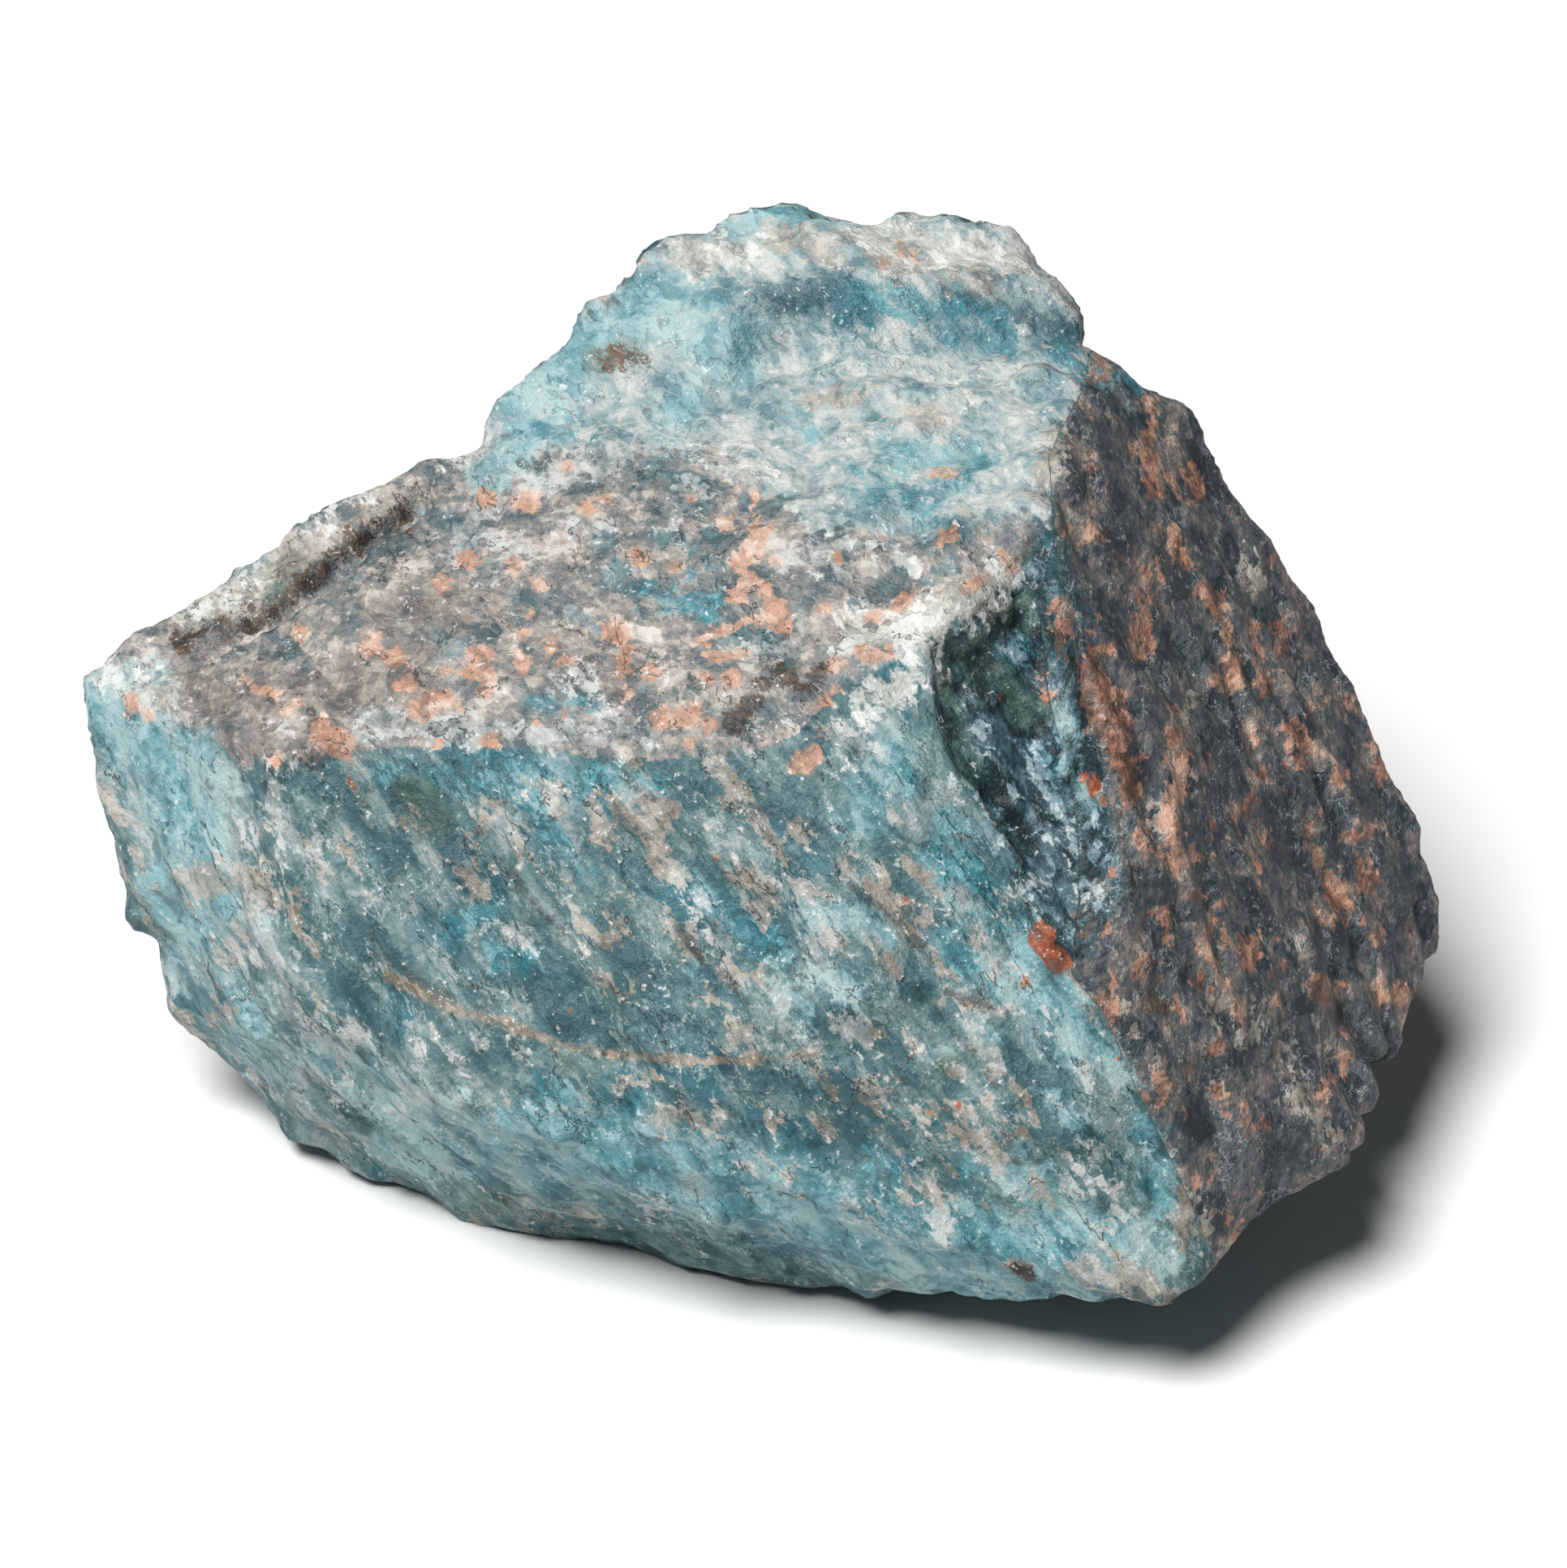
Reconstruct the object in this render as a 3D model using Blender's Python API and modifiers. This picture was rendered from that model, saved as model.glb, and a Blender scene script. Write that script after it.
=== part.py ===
"""A rough lump of blue-green apatite, broken out of the rock and resting on a small flat spot.

Units are metres and +Z is up. The stone is laid out in millimetres by the corners between its
broken faces, seen from its front: X runs to the right, Y away from the viewer and Z up from
the table. The finished mesh is then moved so that the origin is under the middle of its box.
"""
import math

import bmesh
import bpy
from mathutils import Matrix, Vector, noise

MM = 0.001
STONE_NAME = "apatite_stone"
COLLECTION_NAME = "Rough apatite"

# Corners of the main body. Its front leans back and its top rises to the right and the back.
BODY_TOP = {
    "left tip": (-33.2, 31.0, 21.4),
    "front edge left": (-23.5, 22.0, 23.0),
    "front edge middle": (-6.0, 18.5, 25.5),
    "front edge right": (1.0, 18.0, 26.5),
    "apex": (6.5, 21.5, 29.5),
    "chipped corner": (12.0, 23.0, 31.0),
    "ridge front": (12.0, 27.0, 32.5),
    "ridge middle": (13.0, 33.0, 34.0),
    "ridge back": (14.0, 40.0, 34.0),
    "back middle": (-2.0, 41.0, 32.5),
    "back left": (-14.0, 38.0, 29.5),
    "back left corner": (-23.5, 35.5, 26.0),
}
BODY_FRONT = {
    "left cheek": (-31.8, 28.3, 17.5),
    "left side": (-30.6, 27.0, 11.0),
    "left jaw": (-28.3, 25.5, 5.0),
    "left foot": (-24.4, 22.9, 1.3),
    "left toe": (-19.6, 19.4, 0.5),
    "left brow": (-21.0, 15.5, 13.5),
    "belly left": (-11.5, 10.0, 10.5),
    "belly right": (1.0, 6.5, 9.5),
    "front middle": (-2.5, 10.3, 17.0),
    "fold middle": (5.5, 10.0, 18.5),
    "fold low": (11.5, 7.0, 13.0),
    "arris top": (13.5, 18.0, 25.0),
    "arris middle": (15.5, 12.0, 19.0),
    "arris low": (15.5, 9.0, 15.0),
    "arris foot": (18.0, 6.0, 10.0),
    "toe": (17.0, 4.0, 5.5),
    "front rim right": (12.5, 6.0, 5.0),
    "front rim": (5.0, 9.0, 2.5),
}
BODY_SIDES = {
    "toe side": (20.5, 7.0, 6.5),
    "right rim front": (25.5, 11.8, 7.5),
    "right rim": (28.5, 21.0, 7.0),
    "right corner": (31.0, 27.0, 8.5),
    "right back low": (30.0, 30.0, 12.5),
    "right back middle": (27.5, 32.6, 16.7),
    "right back high": (25.6, 35.4, 20.9),
    "right shoulder": (22.5, 37.7, 25.9),
    "right shoulder top": (19.2, 39.6, 30.1),
    "far right": (25.0, 39.0, 13.0),
    "far right top": (17.0, 45.0, 26.0),
    "far middle top": (4.0, 49.5, 27.0),
    "far middle": (7.0, 49.0, 10.0),
    "far left top": (-11.0, 44.0, 22.0),
    "far left": (-9.0, 44.5, 8.0),
    "left back": (-29.0, 35.5, 13.0),
    "left back low": (-22.0, 37.0, 4.0),
}
# Outline of the flat spot under the stone. It starts lower and is cut level at the end.
BASE_CUT_DEPTH = 1.0
BASE_OUTLINE = (
    (-17.0, 20.5), (-14.5, 17.2), (-3.0, 14.2), (5.0, 15.8), (11.0, 22.0),
    (12.5, 31.0), (7.0, 38.5), (-4.0, 39.0), (-14.0, 34.0), (-18.0, 27.0),
)

# The thick slab left standing along the back, with a fresh face on its left end.
SLAB_LEFT = {
    "foot end": (-14.5, 36.8, 27.0),
    "foot front": (-9.0, 34.6, 28.5),
    "foot middle": (-4.0, 35.5, 30.0),
    "foot right": (-0.5, 39.0, 30.5),
    "crest end": (-14.0, 40.0, 30.3),
    "crest middle": (-10.3, 43.4, 32.8),
    "crest right": (-6.4, 46.5, 35.0),
    "brow": (-1.5, 43.0, 35.4),
    "far end": (-12.5, 43.0, 20.0),
    "far side": (-3.0, 48.0, 24.0),
}
SLAB_RIGHT = {
    "foot left": (-3.0, 39.5, 31.0),
    "foot middle": (6.0, 38.5, 31.5),
    "foot right": (14.0, 38.3, 32.0),
    "brow left": (-1.5, 42.5, 35.5),
    "brow middle": (5.0, 42.0, 36.0),
    "brow right": (11.3, 41.5, 35.4),
    "crest left": (-6.4, 46.5, 34.9),
    "crest peak": (-1.3, 48.6, 37.3),
    "crest middle": (6.5, 47.3, 36.6),
    "crest right": (10.8, 46.2, 36.3),
    "crest end": (13.4, 43.2, 34.8),
    "far left": (-5.0, 47.5, 24.0),
    "far middle": (4.0, 50.0, 26.0),
    "far right": (14.5, 46.0, 25.0),
}
# The raised lip behind the crack, along the left part of the back edge.
BACK_LIP = {
    "front left": (-27.0, 30.5, 23.0),
    "front middle": (-21.5, 33.0, 25.5),
    "front right": (-16.5, 36.0, 27.0),
    "crest left": (-28.2, 32.2, 23.9),
    "crest middle": (-22.0, 35.9, 27.2),
    "crest right": (-16.0, 38.2, 29.1),
    "far left": (-27.0, 36.0, 18.0),
    "far right": (-16.0, 42.0, 22.0),
}
# The chip knocked out of the corner between the top, the front and the right side.
CORNER_CHIP = {
    "apex": (6.4, 21.8, 29.8),
    "top edge": (10.3, 24.8, 32.0),
    "ridge": (12.0, 27.0, 33.5),
    "back wall foot": (10.5, 24.6, 27.8),
    "left wall foot": (7.6, 21.4, 27.2),
    "right wall foot": (12.3, 23.6, 27.0),
    "floor left": (7.9, 18.6, 25.3),
    "floor middle": (9.3, 17.0, 23.1),
    "floor deep": (11.9, 20.0, 23.6),
    "floor right": (13.9, 18.8, 24.0),
    "floor low left": (10.7, 14.9, 21.5),
    "floor low deep": (12.9, 15.9, 21.0),
    "floor low right": (14.7, 14.5, 20.9),
    "tail": (12.7, 11.5, 18.8),
    "outer left": (6.5, 12.0, 31.0),
    "outer top left": (9.0, 18.0, 37.0),
    "outer top right": (13.5, 18.0, 37.0),
    "outer right": (16.5, 9.0, 28.5),
    "outer low": (13.0, 4.5, 22.0),
}

# A shallow flake lost from the foot of the front.
FRONT_FLAKE = {
    "top left": (-10.5, 7.5, 13.4),
    "top right": (-7.0, 6.5, 13.8),
    "bottom left": (-9.8, 5.5, 8.6),
    "bottom right": (-6.4, 5.0, 9.0),
    "inner top left": (-10.6, 10.6, 12.8),
    "inner top right": (-6.6, 9.9, 12.6),
    "inner bottom left": (-9.6, 10.2, 9.4),
    "inner bottom right": (-7.0, 9.4, 9.4),
}

# The crack in the top, in front of the lip, runs along these points.
CRACK_PATH = (
    (-28.0, 29.3, 23.6), (-25.2, 30.4, 24.8), (-23.2, 30.6, 25.5), (-21.2, 32.2, 26.3),
    (-20.0, 33.6, 27.0), (-16.5, 36.0, 28.2),
)
CRACK_WIDTH = 1.3
CRACK_DEPTH = 2.2

# Steps broken out of the edges: where each cut goes in, which way it faces and how big it is.
EDGE_STEPS = {
    "right edge": ((29.6, 16.5, 6.8), (35.0, 0.0, 28.0), (4.0, 7.0, 5.5)),
    "right foot": ((25.2, 8.6, 6.3), (20.0, 0.0, 38.0), (3.2, 5.0, 3.4)),
    "crest gap": ((3.2, 49.4, 38.0), (25.0, 0.0, 5.0), (3.6, 6.0, 2.6)),
    "back hollow": ((-20.0, 45.0, 11.0), (0.0, 20.0, 35.0), (14.0, 9.0, 9.0)),
    "far shelf": ((15.0, 51.5, 19.0), (-12.0, 0.0, -20.0), (15.0, 7.0, 8.0)),
}

# Grains and knobs that stand proud of the faces: centre and half sizes.
KNOBS = {
    "orange grain": ((11.75, 11.5, 19.2), (0.9, 0.8, 1.2)),
    "pink grain": ((-20.6, 21.9, 23.4), (1.1, 0.9, 0.6)),
    "left bulge": ((-30.0, 26.8, 10.6), (1.2, 1.2, 1.4)),
    "low left bulge": ((-28.0, 25.6, 6.4), (1.0, 1.0, 1.2)),
    "notch crystal": ((12.8, 19.4, 24.3), (0.7, 0.7, 1.5)),
    "ridge crystal": ((11.6, 36.5, 34.0), (0.8, 0.8, 0.6)),
}

# The rock's grain: long axis down its front, and the direction across its layers.
LINEATION = Vector((0.574, -0.470, -0.671)).normalized()
LAYER_NORMAL = Vector((-0.083, -0.849, 0.523)).normalized()
CROSS_GRAIN = LAYER_NORMAL.cross(LINEATION)
LAYER_THICKNESS = 2.6

# The left part of the top is an old joint face, worn smoother than the fresh breaks.
WORN_CENTRE = Vector((-13.0, 27.0, 26.0))
WORN_RADIUS = 19.0
WORN_RELIEF = 0.4

# Sizes of the relief, in millimetres.
LUMP_SPACING = 8.0
LUMP_HEIGHT = 0.6
KNOT_SPACING = 3.2
KNOT_HEIGHT = 0.28
TERRACE_HEIGHT = 0.6
RIB_HEIGHT = 0.42
RIB_SIZE = (7.0, 2.4, 1.3)

REMESH_SIZE = 0.4
TRIANGLES = 9300

TEAL = (0.135, 0.290, 0.310, 1.0)
STONE_ROUGHNESS = 0.55


def clear_scene():
    for existing in list(bpy.data.objects):
        bpy.data.objects.remove(existing, do_unlink=True)


def new_collection(name):
    collection = bpy.data.collections.new(name)
    bpy.context.scene.collection.children.link(collection)
    return collection


def add_object(name, bm, collection):
    """Turn a bmesh into a named object, with its faces pointing outwards."""
    bmesh.ops.recalc_face_normals(bm, faces=bm.faces)
    mesh = bpy.data.meshes.new(name)
    bm.to_mesh(mesh)
    bm.free()
    thing = bpy.data.objects.new(name, mesh)
    collection.objects.link(thing)
    return thing


def as_cutter(thing):
    thing.hide_render = True
    thing.display_type = "WIRE"
    return thing


def block(name, corners, collection):
    """A block of rock: the smallest convex solid round its corners."""
    bm = bmesh.new()
    for corner in corners:
        bm.verts.new(Vector(corner) * MM)
    hull = bmesh.ops.convex_hull(bm, input=bm.verts)
    inside = {item for item in hull["geom_interior"] if isinstance(item, bmesh.types.BMVert)}
    bmesh.ops.delete(bm, geom=list(inside), context="VERTS")
    return add_object(name, bm, collection)


def crack_wedges(collection):
    """The crack as a row of wedges, each one pointing down into the stone."""
    wedges = []
    half = CRACK_WIDTH / 2
    for index, (start, end) in enumerate(zip(CRACK_PATH, CRACK_PATH[1:])):
        along = (Vector(end) - Vector(start)).normalized()
        across = along.cross(Vector((0.0, 0.0, 1.0))).normalized()
        corners = []
        for point in (Vector(start) - along * 0.25, Vector(end) + along * 0.25):
            corners.append(point + across * half * 1.5 + Vector((0.0, 0.0, 1.5)))
            corners.append(point - across * half * 1.5 + Vector((0.0, 0.0, 1.5)))
            corners.append(point + across * half * 0.5 - Vector((0.0, 0.0, CRACK_DEPTH)))
            corners.append(point - across * half * 0.3 - Vector((0.0, 0.0, CRACK_DEPTH)))
        wedges.append(block(f"crack_{index}", corners, collection))
    return wedges


def turned_box(name, centre, turn, size, collection):
    bm = bmesh.new()
    bmesh.ops.create_cube(bm, size=1.0)
    scale = Matrix.Diagonal(Vector(size) * MM).to_4x4()
    angles = [math.radians(angle) for angle in turn]
    spin = Matrix.Rotation(angles[2], 4, "Z") @ Matrix.Rotation(angles[1], 4, "Y")
    spin = spin @ Matrix.Rotation(angles[0], 4, "X")
    place = Matrix.Translation(Vector(centre) * MM)
    bm.transform(place @ spin @ scale)
    return add_object(name, bm, collection)


def knob(name, centre, half_sizes, collection):
    bm = bmesh.new()
    bmesh.ops.create_icosphere(bm, subdivisions=2, radius=1.0)
    bm.transform(Matrix.Translation(Vector(centre) * MM) @ Matrix.Diagonal(Vector(half_sizes) * MM).to_4x4())
    return add_object(name, bm, collection)


def add_boolean(stone, other, operation):
    modifier = stone.modifiers.new(f"{operation} {other.name}", "BOOLEAN")
    modifier.object = other
    modifier.operation = operation
    modifier.solver = "EXACT"


def apply_modifiers(thing):
    """Swap the object's mesh for the one that its modifiers make."""
    bpy.context.view_layer.update()
    graph = bpy.context.evaluated_depsgraph_get()
    mesh = bpy.data.meshes.new_from_object(thing.evaluated_get(graph), depsgraph=graph)
    thing.modifiers.clear()
    thing.data = mesh


def along_grain(point, sizes):
    """The point in the rock's own directions, each one counted in the given size."""
    return Vector((
        point.dot(LINEATION) / sizes[0],
        point.dot(CROSS_GRAIN) / sizes[1],
        point.dot(LAYER_NORMAL) / sizes[2],
    ))


def smooth_ramp(low, high, value):
    share = min(max((value - low) / (high - low), 0.0), 1.0)
    return share * share * (3.0 - 2.0 * share)


def terrace(point, normal):
    """Thin layers broken back one after another: a slow rise and then a sharp drop.

    They show on faces that cut across the layers and not on those that follow one.
    """
    bend = noise.noise(along_grain(point, (14.0, 7.0, 7.0))) * 1.5
    layer = point.dot(LAYER_NORMAL) / LAYER_THICKNESS + bend
    share = layer - math.floor(layer)
    broken = smooth_ramp(-0.25, 0.35, noise.noise(point / 6.5 + Vector((5.0, 1.0, 9.0))))
    across = smooth_ramp(0.08, 0.35, 1.0 - abs(normal.dot(LAYER_NORMAL)))
    return (smooth_ramp(0.0, 0.78, share) - smooth_ramp(0.82, 1.0, share)) * broken * across


def relief(point, normal):
    """How far the broken surface stands out of its flat face at a point in millimetres."""
    lumps = noise.noise(point / LUMP_SPACING) * LUMP_HEIGHT
    knots = noise.noise(point / KNOT_SPACING + Vector((3.0, 7.0, 1.0))) * KNOT_HEIGHT
    ribs = noise.noise(along_grain(point, RIB_SIZE)) * RIB_HEIGHT
    steps = (terrace(point, normal) - 0.5) * TERRACE_HEIGHT
    fresh = smooth_ramp(0.6, 1.0, (point - WORN_CENTRE).length / WORN_RADIUS)
    return (lumps + knots + ribs + steps) * (WORN_RELIEF + (1.0 - WORN_RELIEF) * fresh)


def roughen(mesh):
    """Move every point of the fine mesh out or in by the relief."""
    bm = bmesh.new()
    bm.from_mesh(mesh)
    bm.normal_update()
    for vertex in bm.verts:
        vertex.co += vertex.normal * relief(vertex.co / MM, vertex.normal) * MM
    bm.to_mesh(mesh)
    bm.free()


def finish_mesh(mesh):
    """Cut the base level, merge what the cut left too close and stand the stone on the floor."""
    bm = bmesh.new()
    bm.from_mesh(mesh)
    every = list(bm.verts) + list(bm.edges) + list(bm.faces)
    cut = bmesh.ops.bisect_plane(
        bm, geom=every, dist=1e-7, plane_co=(0.0, 0.0, 0.0), plane_no=(0.0, 0.0, -1.0),
        clear_outer=True,
    )
    rim = [item for item in cut["geom_cut"] if isinstance(item, bmesh.types.BMEdge)]
    bmesh.ops.holes_fill(bm, edges=rim)
    bmesh.ops.dissolve_degenerate(bm, edges=bm.edges, dist=2e-5)
    bmesh.ops.triangulate(bm, faces=bm.faces)
    low = [min(vertex.co[axis] for vertex in bm.verts) for axis in range(3)]
    high = [max(vertex.co[axis] for vertex in bm.verts) for axis in range(3)]
    middle = Vector(((low[0] + high[0]) / 2, (low[1] + high[1]) / 2, low[2]))
    bmesh.ops.translate(bm, verts=bm.verts, vec=-middle)
    bmesh.ops.recalc_face_normals(bm, faces=bm.faces)
    bm.to_mesh(mesh)
    bm.free()
    return middle


def apatite_material():
    material = bpy.data.materials.new("blue_green_apatite")
    material.use_nodes = True
    shader = material.node_tree.nodes["Principled BSDF"]
    shader.inputs["Base Color"].default_value = TEAL
    shader.inputs["Roughness"].default_value = STONE_ROUGHNESS
    shader.inputs["Metallic"].default_value = 0.0
    material.diffuse_color = TEAL
    return material


def build_stone():
    parts = new_collection(COLLECTION_NAME)
    cutters = new_collection("Cutters")

    base = [(x, y, -BASE_CUT_DEPTH) for x, y in BASE_OUTLINE]
    corners = [*BODY_TOP.values(), *BODY_FRONT.values(), *BODY_SIDES.values(), *base]
    stone = block(STONE_NAME, corners, parts)

    for name, slab in (("slab_left", SLAB_LEFT), ("slab_right", SLAB_RIGHT), ("lip", BACK_LIP)):
        add_boolean(stone, as_cutter(block(name, slab.values(), cutters)), "UNION")
    for name, chip in (("corner_chip", CORNER_CHIP), ("front_flake", FRONT_FLAKE)):
        add_boolean(stone, as_cutter(block(name, chip.values(), cutters)), "DIFFERENCE")
    for wedge in crack_wedges(cutters):
        add_boolean(stone, as_cutter(wedge), "DIFFERENCE")
    for name, (centre, turn, size) in EDGE_STEPS.items():
        step = turned_box(name.replace(" ", "_"), centre, turn, size, cutters)
        add_boolean(stone, as_cutter(step), "DIFFERENCE")
    for name, (centre, half_sizes) in KNOBS.items():
        grain = knob(name.replace(" ", "_"), centre, half_sizes, cutters)
        add_boolean(stone, as_cutter(grain), "UNION")

    remesh = stone.modifiers.new("Even mesh", "REMESH")
    remesh.mode = "VOXEL"
    remesh.voxel_size = REMESH_SIZE * MM
    apply_modifiers(stone)

    roughen(stone.data)
    stone.data.calc_loop_triangles()
    decimate = stone.modifiers.new("Facets", "DECIMATE")
    decimate.ratio = TRIANGLES / len(stone.data.loop_triangles)
    apply_modifiers(stone)

    offset = finish_mesh(stone.data)
    stone.data.materials.clear()
    stone.data.materials.append(apatite_material())
    return stone, offset


clear_scene()
apatite_stone, box_offset = build_stone()
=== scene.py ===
import math

import bpy
import numpy as np
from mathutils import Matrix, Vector, noise
from mathutils.bvhtree import BVHTree


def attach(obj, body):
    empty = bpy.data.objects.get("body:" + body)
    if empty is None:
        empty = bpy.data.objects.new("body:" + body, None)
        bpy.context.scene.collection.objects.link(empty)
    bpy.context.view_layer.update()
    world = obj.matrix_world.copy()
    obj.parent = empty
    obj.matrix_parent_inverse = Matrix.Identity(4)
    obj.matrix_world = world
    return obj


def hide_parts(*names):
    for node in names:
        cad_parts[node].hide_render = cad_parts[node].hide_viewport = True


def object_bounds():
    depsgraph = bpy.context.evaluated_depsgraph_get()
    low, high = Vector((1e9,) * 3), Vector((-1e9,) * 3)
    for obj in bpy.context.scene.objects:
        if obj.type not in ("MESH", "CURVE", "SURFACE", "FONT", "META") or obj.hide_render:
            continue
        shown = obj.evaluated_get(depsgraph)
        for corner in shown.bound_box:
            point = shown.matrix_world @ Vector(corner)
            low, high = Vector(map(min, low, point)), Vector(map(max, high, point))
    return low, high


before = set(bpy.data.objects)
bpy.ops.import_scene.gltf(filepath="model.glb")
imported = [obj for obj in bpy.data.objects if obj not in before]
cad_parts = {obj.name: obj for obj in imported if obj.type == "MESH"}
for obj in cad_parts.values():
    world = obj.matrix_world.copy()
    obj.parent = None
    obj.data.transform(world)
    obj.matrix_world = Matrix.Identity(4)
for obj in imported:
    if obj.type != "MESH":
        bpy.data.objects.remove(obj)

cad_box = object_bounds()
MM = 0.001

# The view: the camera looks down on the leaning front from 300 mm away. It comes first, because
# the crystals and marks on the stone are placed by the pixels at which this view shows them.
PHOTO_WIDTH, PHOTO_HEIGHT = 1931, 1932
PIXELS_PER_MM = 27.7
CAMERA_DISTANCE = 300.0
CAMERA_ELEVATION = math.radians(35.0)
SENSOR_WIDTH = 36.0
CLOSEST_DRAWN = 0.01
VIEW_CENTRE = Vector((0.886, -9.77, 24.66))

look = Vector((0.0, math.cos(CAMERA_ELEVATION), -math.sin(CAMERA_ELEVATION)))
view_right = Vector((1.0, 0.0, 0.0))
view_up = view_right.cross(look)
camera_place = VIEW_CENTRE - look * CAMERA_DISTANCE
camera_data = bpy.data.cameras.new("photo_view")
camera_data.sensor_width = SENSOR_WIDTH
camera_data.lens = SENSOR_WIDTH * CAMERA_DISTANCE * PIXELS_PER_MM / PHOTO_WIDTH
camera_data.clip_start = CLOSEST_DRAWN
camera = bpy.data.objects.new("photo_view", camera_data)
camera.location = camera_place * MM
camera.rotation_euler = look.to_track_quat("-Z", "Y").to_euler()
bpy.context.scene.collection.objects.link(camera)
bpy.context.scene.camera = camera


def ray_through(x, y):
    """The direction from the camera through a pixel of the photo."""
    side = view_right * ((x - PHOTO_WIDTH / 2) / PIXELS_PER_MM)
    rise = view_up * ((PHOTO_HEIGHT / 2 - y) / PIXELS_PER_MM)
    return (look * CAMERA_DISTANCE + side + rise).normalized()


# The stone: one lump of massive blue-green apatite, broken out of the rock.
# It is made from the solid: its mesh is evened out, small crystals are fused to it, and its
# faces are then worked over with grains, flakes and layers.
VOXEL = 0.325
SMOOTHING_ROUNDS = 2
SMOOTHING_SHARE = 0.5
WELD_GAP = 1e-6

# Crystals that stand out of the chipped corner, the edges and the front's foot: the pixel that
# shows them, their half sizes in millimetres, and their turn in degrees.
SUNK_SHARE = 0.5
CRYSTALS = (
    ((1314, 945), (0.70, 0.60, 1.30), (-40, 0, -12)),
    ((1248, 806), (0.75, 0.60, 0.70), (10, 25, 0)),
    ((1288, 915), (0.45, 0.45, 0.40), (0, 30, 20)),
    ((1262, 1000), (0.50, 0.40, 0.55), (-30, 20, 10)),
    ((1300, 1040), (0.55, 0.45, 0.60), (-35, 0, 30)),
    ((1338, 1085), (0.60, 0.50, 0.65), (-30, 10, 0)),
    ((1272, 432), (0.70, 0.60, 0.50), (0, 20, 0)),
    ((700, 1390), (1.40, 0.90, 0.80), (20, 10, 30)),
    ((632, 1370), (1.00, 0.80, 0.70), (0, 30, 0)),
    ((772, 1402), (1.10, 0.80, 0.70), (30, 0, -20)),
    ((556, 1384), (1.00, 0.70, 0.70), (10, 20, 45)),
)

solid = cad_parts["apatite_stone"]
stone = solid.copy()
stone.data = solid.data.copy()
stone.name = "apatite_stone_surface"
stone.data.name = "apatite_stone_surface"
stone.data.materials.clear()
bpy.context.scene.collection.objects.link(stone)


def select_only(*things):
    """Select these objects alone, with the first as the active one."""
    bpy.ops.object.select_all(action="DESELECT")
    for thing in things:
        thing.select_set(True)
    bpy.context.view_layer.objects.active = things[0]


select_only(stone)
bpy.ops.object.mode_set(mode="EDIT")
bpy.ops.mesh.select_all(action="SELECT")
bpy.ops.mesh.remove_doubles(threshold=WELD_GAP)
bpy.ops.object.mode_set(mode="OBJECT")

tree = BVHTree.FromPolygons(
    [vertex.co / MM for vertex in stone.data.vertices],
    [polygon.vertices for polygon in stone.data.polygons],
)
pieces = [stone]
for (x, y), half_sizes, turn in CRYSTALS:
    place, normal = tree.ray_cast(camera_place, ray_through(x, y))[:2]
    bpy.ops.mesh.primitive_ico_sphere_add(
        subdivisions=1, radius=1.0, location=(place - normal * min(half_sizes) * SUNK_SHARE) * MM,
        rotation=[math.radians(angle) for angle in turn], scale=[size * MM for size in half_sizes],
    )
    pieces.append(bpy.context.object)

select_only(*pieces)
bpy.ops.object.join()
bpy.ops.object.transform_apply(location=True, rotation=True, scale=True)

remesh = stone.modifiers.new("Even mesh", "REMESH")
remesh.mode = "VOXEL"
remesh.voxel_size = VOXEL * MM
bpy.ops.object.modifier_apply(modifier=remesh.name)
smooth = stone.modifiers.new("Soften facets", "SMOOTH")
smooth.factor = SMOOTHING_SHARE
smooth.iterations = SMOOTHING_ROUNDS
bpy.ops.object.modifier_apply(modifier=smooth.name)

count = len(stone.data.vertices)
places = np.empty(count * 3, np.float32)
stone.data.vertices.foreach_get("co", places)
places = places.reshape(-1, 3).astype(float) / MM
normals = np.empty(count * 3, np.float32)
stone.data.vertices.foreach_get("normal", normals)
normals = normals.reshape(-1, 3).astype(float)

# What the camera sees of the stone, and where in the photo each point of it lies.
EDGE_ON = 0.02
HIDDEN_BEHIND = 0.8
offsets = places - np.array(camera_place)
depths = offsets @ np.array(look)
photo_scale = CAMERA_DISTANCE * PIXELS_PER_MM
photo_x = PHOTO_WIDTH / 2 + offsets @ np.array(view_right) / depths * photo_scale
photo_y = PHOTO_HEIGHT / 2 - offsets @ np.array(view_up) / depths * photo_scale
even_tree = BVHTree.FromPolygons(
    [vertex.co / MM for vertex in stone.data.vertices],
    [polygon.vertices for polygon in stone.data.polygons],
)
seen = np.zeros(count, bool)
for index in range(count):
    offset = Vector(offsets[index])
    reach = offset.length
    if offset.dot(Vector(normals[index])) < EDGE_ON * reach:
        hit = even_tree.ray_cast(camera_place, offset / reach)
        seen[index] = hit[3] is None or hit[3] > reach - HIDDEN_BEHIND


def inside(outline):
    """How far inside a photo outline each seen point lies, in millimetres, and below 0 outside."""
    corners = np.array(outline, float)
    ends = np.roll(corners, -1, axis=0)
    nearest = np.full(count, np.inf)
    crossings = np.zeros(count, int)
    for (ax, ay), (bx, by) in zip(corners, ends):
        span = (bx - ax) ** 2 + (by - ay) ** 2
        along = ((photo_x - ax) * (bx - ax) + (photo_y - ay) * (by - ay)) / span
        along = np.clip(along, 0, 1)
        gap = np.hypot(photo_x - ax - along * (bx - ax), photo_y - ay - along * (by - ay))
        nearest = np.minimum(nearest, gap)
        if ay != by:
            level = (ay > photo_y) != (by > photo_y)
            crossings += level & (photo_x < ax + (photo_y - ay) * (bx - ax) / (by - ay))
    return np.where(crossings % 2 == 1, nearest, -nearest) / PIXELS_PER_MM


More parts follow.
